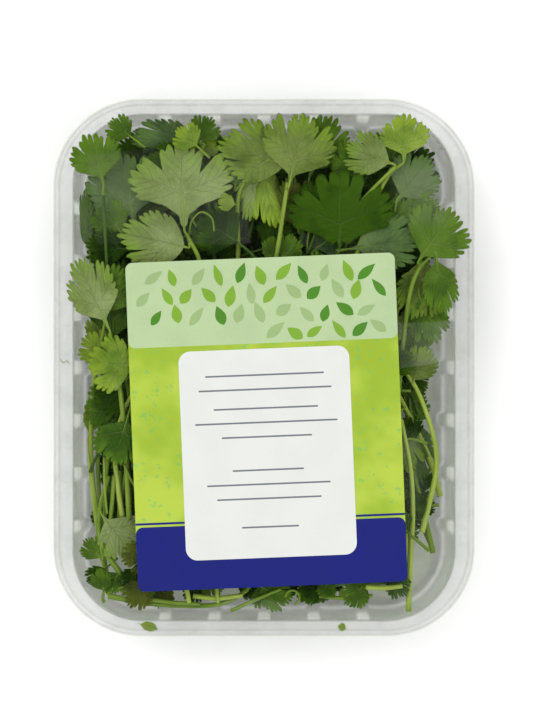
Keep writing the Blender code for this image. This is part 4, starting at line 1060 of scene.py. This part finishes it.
def sheetOver(name, rings, shares, thickness, offset):
    # a smooth sheet over closed rings, drawn in towards its middle by these shares
    inner = rings[-1]
    rings = rings + [[(x * share, y * share, z) for x, y, z in inner] for share in shares]
    points = [point for ring in rings for point in ring] + [(0.0, 0.0, inner[0][2])]
    count, last = len(inner), (len(rings) - 1) * len(inner)
    faces = [(a + n, a + (n + 1) % count, a + count + (n + 1) % count, a + count + n)
             for a in range(0, last, count) for n in range(count)]
    faces += [(last + n, last + (n + 1) % count, len(points) - 1) for n in range(count)]
    item = meshObject(name, points, faces)
    sheet = item.modifiers.new("sheet", "SOLIDIFY")
    sheet.thickness = thickness * mm
    sheet.offset = offset
    return item


def buildTray(form):
    top, depth = form["flangeTop"], form["ribDepth"]
    rimInset = [form["skirtFlare"] + flat for flat in form["flange"]]

    def wall(height, rib=0.0, extra=0.0):
        share = (top - height) / (top - form["ribFoot"])
        step = form["draft"] * share + extra
        inset = (rimInset[0] + step, rimInset[1] + step)
        return trayRing(form, inset, height, rib, form["rimRadius"] - step)

    def flange(step, down=0.0):
        inset = (form["skirtFlare"] + step, form["skirtFlare"] + step)
        return trayRing(form, inset, top - down, 0.0, form["outerRadius"] - step)

    def skirt(inset, down):
        return trayRing(form, (inset, inset), top - down, 0.0, form["outerRadius"])

    def lip(before, down=0.0):
        # the last of the flange, this far before the wall
        inset = (rimInset[0] - before, rimInset[1] - before)
        return trayRing(form, inset, top - down, 0.0, form["rimRadius"] + before)

    rings = [skirt(0.0, form["skirtDrop"]), skirt(0.25, 1.4), skirt(0.45, 0.6),
             flange(0.1, 0.18), flange(0.5), flange(1.6), flange(1.9, 0.25), flange(2.3, 0.25), flange(2.6),
             flange(4.2), lip(0.9), lip(0.3, 0.1),
             wall(top - 0.6), wall(top - 2.0), wall(form["ribTop"] + 2), wall(form["ribTop"])]
    for share in (n / 5 for n in range(1, 6)):
        rings.append(wall(form["ribTop"] + (form["ribFoot"] - form["ribTop"]) * share, depth * share))
    rings += [wall(2.2, depth, 0.35), wall(1.1, depth, 1.0), wall(0.6, depth, 1.9),
              wall(0.5, depth * 0.9, 3.0), wall(0.5, 0.0, 6.0), wall(0.9, 0.0, 7.2), wall(0.9, 0.0, 14.0)]
    ribs = []                                # how far each point of a ring is on a rib
    for quarter in range(4):
        end = 1 - quarter % 2
        run = form["half"][end] - rimInset[end] - form["rimRadius"]
        ribs += [ribAt((2 * (n / form["perSide"]) - 1) * run, quarter, form) for n in range(form["perSide"])]
        ribs += [0.0] * form["perCorner"]
    marks = []                               # rib, drawn edge and wall, as red, green and blue
    for r in range(len(rings)):
        onRib, onEdge = form["ribRings"].get(r, 0.0), form["edgeRings"].get(r, 0.0)
        onWall = 1.0 if form["wallRings"][0] <= r <= form["wallRings"][1] else 0.0
        marks += [(rib * onRib, onEdge * (1 - rib * onRib), onWall * (1 - rib * onRib), 1.0) for rib in ribs]
    item = sheetOver("trayShell", rings, (0.75, 0.5, 0.25), form["sheet"], -1.0)
    marks += [(0.0, 0.0, 0.0, 1.0)] * (len(item.data.vertices) - len(marks))
    pointColours(item, "trayMarks", marks)
    return item


trayLook = {
    "flangeFrom": 33.2, "flangeTo": 34.7,     # mm, over which the denser look of the rim starts
    # the green tint of the clear parts is painted light bounced up from the herbs; the darker green wall colour
    # is painted shade with that tint
    "clear": (0.68, 0.79, 0.52), "rim": (0.36, 0.37, 0.36),
    "wall": (0.32, 0.40, 0.23), "line": (0.20, 0.22, 0.19),
    "clearVeil": 0.125, "rimVeil": 0.19, "lineVeil": 0.22, "cloud": 0.08, "edge": 0.05,
    "wallClear": 0.11, "wallEdge": 0.55,      # a wall is clear straight on and denser along it, so its darker colour shows from above as painted shade
    "roughness": 0.14, "bump": (0.25, 0.0008),
}


def makeTrayMaterial(look):
    material, tree, shader = newMaterial("clearTrayPlastic", look["roughness"])
    calc, span, mix, noise = toolsFor(tree)
    place = objectPlace(tree)
    height = addNode(tree, "SeparateXYZ", {0: place})[2]
    marks = addNode(tree, "Attribute", attribute_name="trayMarks")["Color"]
    channels = addNode(tree, "SeparateColor", {0: marks})
    line, wall = channels[1], channels[2]
    rim = span(height, look["flangeFrom"] * mm, look["flangeTo"] * mm)
    # the green tint paints light bounced from the herbs, the darker green of the walls paints shade
    colour = mix(wall, mix(rim, look["clear"], look["rim"]), look["wall"])
    facing = addNode(tree, "LayerWeight", {"Blend": 0.3})["Facing"]
    cloud, scuff = noise(place, 60.0, 4.0, 0.65), noise(place, 420.0, 2.0, 0.6)
    veil = span(rim, 0.0, 1.0, look["clearVeil"], look["rimVeil"])
    veil = calc("ADD", veil, span(cloud, 0.38, 0.68, 0.0, look["cloud"]))
    along = calc("MULTIPLY_ADD", facing, look["wallEdge"], -look["wallClear"])
    veil = calc("MULTIPLY_ADD", line, look["lineVeil"], calc("MULTIPLY_ADD", wall, along, veil))
    give(tree, shader.inputs, {"Alpha": calc("ADD", veil, calc("MULTIPLY", facing, look["edge"]))})
    relief = calc("ADD", cloud, calc("MULTIPLY", scuff, 0.25))
    coat(tree, shader, mix(line, colour, look["line"]), relief, *look["bump"])
    return material


tray = buildTray(trayForm)
tray.data.materials.append(makeTrayMaterial(trayLook))
takeRole(tray, "tray")
print("tray built")


# the lidding film

filmForm = {
    "inset": 1.6, "seal": 1.4, "slope": 0.9, "low": 35.3, "high": 36.5, "sheet": 0.14, "radius": 37.0,
    "perSide": 60, "perCorner": 24,
}


def buildFilm(form):
    low, high, seal = form["low"], form["high"], form["seal"]
    lifted = seal + form["slope"]

    def ring(step, height):
        inset = (form["inset"] + step, form["inset"] + step)
        return trayRing({**trayForm, **form}, inset, height, 0.0, form["radius"] - step)

    rings = [ring(step, height) for step, height in (
        (0.0, low), (0.7, low), (seal, low), (seal + 0.4, low + 0.45), (lifted, high - 0.1),
        (lifted + 0.9, high), (6.0, high))]
    shares = (0.94, 0.88, 0.8, 0.72, 0.64, 0.54, 0.44, 0.34, 0.24, 0.12)
    return sheetOver("filmSheet", rings, shares, form["sheet"], 1.0)


filmLook = {
    # edge raises the veil at grazing angles as a painted reflection
    "colour": (0.44, 0.46, 0.37), "roughness": 0.12, "clear": 0.002, "edge": 0.20,
    # hazed patches, painted reflection as well as condensation haze: middle and half size in mm, turn in
    # degrees, edge softness in mm, how dense
    "patches": (((-40.0, 73.5), (33.0, 21.5), 6.0, 1.2, 0.018), ((-46.0, 66.0), (24.0, 10.0), 4.0, 7.0, 0.008),
                ((66.0, 74.0), (14.0, 17.0), 12.0, 9.0, 0.038), ((72.0, 10.0), (20.0, 9.0), 8.0, 1.0, 0.050),
                ((4.0, -101.0), (22.0, 3.5), 3.0, 1.5, 0.030), ((60.0, -60.0), (13.0, 40.0), 4.0, 8.0, 0.020)),
    "bump": (0.3, 0.001),
}


def makeFilmMaterial(look):
    material, tree, shader = newMaterial("clearFilm", look["roughness"])
    calc, span, mix, noise = toolsFor(tree)
    place = objectPlace(tree)
    parts = addNode(tree, "SeparateXYZ", {0: place})
    sway = span(noise(place, 14.0, 1.0, 0.3), 0.3, 0.7, -0.004, 0.004)
    # the veil: a thin clear haze everywhere, and patches that paint reflection as well as condensation haze
    hazeAndReflection = look["clear"]
    for (cx, cy), (halfX, halfY), turn, soft, dense in look["patches"]:
        c, s = math.cos(math.radians(turn)), math.sin(math.radians(turn))
        x = calc("SUBTRACT", parts[0], cx * mm)
        y = calc("ADD", calc("SUBTRACT", parts[1], cy * mm), sway)
        u = calc("ABSOLUTE", calc("ADD", calc("MULTIPLY", x, c), calc("MULTIPLY", y, s)))
        v = calc("ABSOLUTE", calc("SUBTRACT", calc("MULTIPLY", y, c), calc("MULTIPLY", x, s)))
        inside = calc("MULTIPLY", span(u, (halfX - soft) * mm, halfX * mm, dense, 0.0),
                      span(v, (halfY - soft) * mm, halfY * mm, 1.0, 0.0))
        hazeAndReflection = calc("ADD", hazeAndReflection, inside)
    hazeAndReflection = calc("MULTIPLY", hazeAndReflection, span(noise(place, 45.0, 3.0, 0.6), 0.35, 0.65, 0.55, 1.25))
    # facing raises the veil at grazing angles, a painted reflection
    facing = addNode(tree, "LayerWeight", {"Blend": 0.25})["Facing"]
    give(tree, shader.inputs, {"Alpha": calc("ADD", hazeAndReflection, calc("MULTIPLY", facing, look["edge"]))})
    coat(tree, shader, look["colour"], noise(place, 70.0, 1.0, 0.3), *look["bump"])
    return material


film = buildFilm(filmForm)
film.data.materials.append(makeFilmMaterial(filmLook))
takeRole(film, "lidding_film")
print("film built")


# the label, with a plain printed design of its own

labelForm = {
    "size": (113.5, 138.5), "middle": (1.0, -23.0), "turn": 2.3, "radius": 3.0,
    "under": 37.2, "thickness": 0.25, "proud": 0.03,
}


def labelPlace(x, y):
    turn = math.radians(labelForm["turn"])
    mx, my = labelForm["middle"]
    return mx + x * math.cos(turn) - y * math.sin(turn), my + x * math.sin(turn) + y * math.cos(turn)


def roundedBox(x0, y0, x1, y1, radius, steps=6):
    points = []
    for cx, cy, first in ((x1 - radius, y1 - radius, 0), (x0 + radius, y1 - radius, 90),
                          (x0 + radius, y0 + radius, 180), (x1 - radius, y0 + radius, 270)):
        for n in range(steps + 1):
            turn = math.radians(first + 90 * n / steps)
            points.append((cx + radius * math.cos(turn), cy + radius * math.sin(turn)))
    return points


def ovalLeaf(x, y, length, width, turn, steps=9):
    points = []
    for side in (1, -1):
        for n in range(steps):
            share = n / steps if side == 1 else 1 - n / steps
            wide = math.sin(math.pi * share ** 0.8) * width / 2 * side
            along = share * length
            c, s = math.cos(math.radians(turn)), math.sin(math.radians(turn))
            points.append((x + along * c - wide * s, y + along * s + wide * c))
    return points


def printPiece(name, outlines, low, high, material, node=None):
    # flat closed plates from outlines on the label
    points, faces = [], []
    for outline in outlines:
        start, count = len(points), len(outline)
        for height in (high, low):
            points += [(*labelPlace(x, y), height) for x, y in outline]
        faces.append(tuple(start + n for n in range(count)))
        faces.append(tuple(start + count + n for n in reversed(range(count))))
        faces += [(start + n, start + count + n, start + count + (n + 1) % count, start + (n + 1) % count)
                  for n in range(count)]
    item = meshObject(name, points, faces, smooth=False)
    item.data.materials.append(material)
    takeRole(item, node)


def makePaperGroup():
    group, given, out = newGroup("paperPrint", {"ink": (0.5, 0.5, 0.5, 1), "unevenness": 0.05},
                                 ("colour", "fibre"))
    calc, span, mix, noise = toolsFor(group)
    place = objectPlace(group)
    fine = noise(place, 2600.0, 2.0, 0.6)
    lean = calc("ADD", span(noise(place, 60.0), 0.35, 0.65), span(fine, 0.3, 0.7))
    lean = calc("MULTIPLY", lean, given["unevenness"])
    give(group, out, {"colour": mix(lean, given["ink"], (0.02, 0.03, 0.03)), "fibre": fine})
    return group


inkLook = {
    "roughness": 0.42, "specular": 0.09, "limeSpecular": 0.2, "bump": (0.15, 0.0002), "unevenness": 0.06,
    "lime": ((0.275, 0.405, 0.026), (0.40, 0.52, 0.056)), "speck": (0.10, 0.40, 0.13),
}
paperGroup = makePaperGroup()


def makeInk(name, colour, unevenness=inkLook["unevenness"]):
    material, tree, shader = newMaterial(name, inkLook["roughness"], inkLook["specular"])
    ink = addNode(tree, "Group", {"ink": colour, "unevenness": unevenness}, node_tree=paperGroup)
    coat(tree, shader, ink["colour"], ink["fibre"], *inkLook["bump"])
    return material


def makeLimeGround():
    material, tree, shader = newMaterial("limeGround", inkLook["roughness"], inkLook["limeSpecular"])
    calc, span, mix, noise = toolsFor(tree)
    place = objectPlace(tree)
    colour = mix(span(noise(place, 28.0, 3.0, 0.6), 0.38, 0.66), *inkLook["lime"])
    spots = span(noise(place, 330.0, 2.0, 0.7), 0.60, 0.68, 0.0, 0.45)
    coat(tree, shader, mix(spots, colour, inkLook["speck"]), noise(place, 2600.0, 2.0, 0.6), *inkLook["bump"])
    return material


labelPrint = {
    # mm throughout: the leafy band at the top, the white panel, the foot and the line above it
    "band": 36.0, "panel": (-36.0, -57.0, 36.0, 31.0, 5.0), "foot": 27.0, "line": 0.9, "corner": 2.9,
    "rules": ((20, 50), (14, 56), (6, 44), (0, 60), (-6, 38), (-20, 30), (-26, 52), (-32, 44), (-44, 24)),
    "leafRows": 4, "leafColumns": 12, "leafStart": (7, 4.5), "leafPitch": (9.0, 8.2), "leafJitter": 1.2,
    "seed": 5,
}


def bandLeaves(halfX, low, top, design):
    # plain oval leaves in three groups, one for each ink
    draw = random.Random(design["seed"])
    groups = [[], [], []]
    (startX, startY), (pitchX, pitchY), jitter = design["leafStart"], design["leafPitch"], design["leafJitter"]
    for row in range(design["leafRows"]):
        for column in range(design["leafColumns"]):
            x = -halfX + startX + column * pitchX + (row % 2) * pitchX / 2 + draw.uniform(-jitter, jitter)
            y = low + startY + row * pitchY + draw.uniform(-jitter, jitter)
            turn = 50 + draw.uniform(-25, 25) + (column % 2) * 70
            length, width = draw.uniform(7.5, 10.0), draw.uniform(3.4, 4.6)
            c, s = math.cos(math.radians(turn)), math.sin(math.radians(turn))
            leaf = ovalLeaf(x - c * length / 2, y - s * length / 2, length, width, turn)
            if all(abs(px) < halfX - 1.2 and low + 0.8 < py < top - 1.2 for px, py in leaf):
                groups[draw.randrange(3)].append(leaf)
    return groups


def buildLabel(form, design):
    halfX, halfY = form["size"][0] / 2, form["size"][1] / 2
    low, high = form["under"], form["under"] + form["thickness"]
    proud, sunk = form["proud"], high - 0.1
    printPiece("labelPaper", [roundedBox(-halfX, -halfY, halfX, halfY, form["radius"])],
               low, high, makeLimeGround(), "label")
    navy = makeInk("navyInk", (0.010, 0.014, 0.165))
    white = makeInk("offWhiteInk", (0.67, 0.68, 0.65), 0.03)
    grey = makeInk("greyInk", (0.16, 0.17, 0.20))
    paleGreen = makeInk("paleGreenInk", (0.42, 0.54, 0.30))
    leafInks = [makeInk("leafInkOne", (0.07, 0.22, 0.02)), makeInk("leafInkTwo", (0.19, 0.36, 0.035)),
                makeInk("leafInkThree", (0.30, 0.42, 0.18))]
    bandLow, footTop = halfY - design["band"], -halfY + design["foot"]
    printPiece("labelBand", [roundedBox(-halfX, bandLow, halfX, halfY, design["corner"])],
               sunk, high + proud, paleGreen)
    for number, outlines in enumerate(bandLeaves(halfX, bandLow, halfY, design)):
        printPiece(f"labelLeaves{number + 1}", outlines, high - 0.05, high + proud * (2 + number),
                   leafInks[number])
    printPiece("labelFoot", [roundedBox(-halfX, -halfY, halfX, footTop, design["corner"])],
               sunk, high + proud, navy)
    line = roundedBox(-halfX, footTop + 0.9, halfX, footTop + 0.9 + design["line"], 0.3)
    printPiece("labelLine", [line], sunk, high + proud, navy)
    printPiece("labelPanel", [roundedBox(*design["panel"], 10)], sunk, high + proud * 5, white)
    rules = [roundedBox(-wide / 2, y - 0.35, wide / 2, y + 0.35, 0.3, 3) for y, wide in design["rules"]]
    printPiece("labelRules", rules, high, high + proud * 6, grey)


buildLabel(labelForm, labelPrint)
print("label built")


# floor and lights

studio = {
    "floorHalf": 3000.0,                      # mm
    "floorColour": (0.98, 0.98, 0.98), "floorRoughness": 0.9, "worldStrength": 0.82,
    # each lamp: name, place in m, width in m, power in W
    "lamps": (("softLeft", (-0.95, 0.95, 1.5), 1.6, 18.0), ("softRight", (0.95, -0.7, 1.4), 1.6, 10.0)),
}


def buildStudio(settings):
    half = settings["floorHalf"]
    corners = [(-half, -half, 0), (half, -half, 0), (half, half, 0), (-half, half, 0)]
    floor = meshObject("studioFloor", corners, [(0, 1, 2, 3)], smooth=False)
    floor.data.materials.append(newMaterial("studioFloor", settings["floorRoughness"],
                                            colour=settings["floorColour"])[0])
    world = bpy.data.worlds.new("studioWorld")
    world.use_nodes = True
    background = world.node_tree.nodes["Background"].inputs
    background[0].default_value = (1, 1, 1, 1)
    background[1].default_value = settings["worldStrength"]
    bpy.context.scene.world = world
    for name, place, size, power in settings["lamps"]:
        light = bpy.data.lights.new(name, "AREA")
        light.shape = "DISK"
        light.size = size
        light.energy = power
        lamp = addObject(name, light)
        lamp.location = place
        lamp.rotation_euler = (-Vector(place)).to_track_quat("-Z", "Y").to_euler()
    bpy.context.scene.view_settings.view_transform = "Standard"


buildStudio(studio)
print("studio set")

bpy.context.view_layer.update()
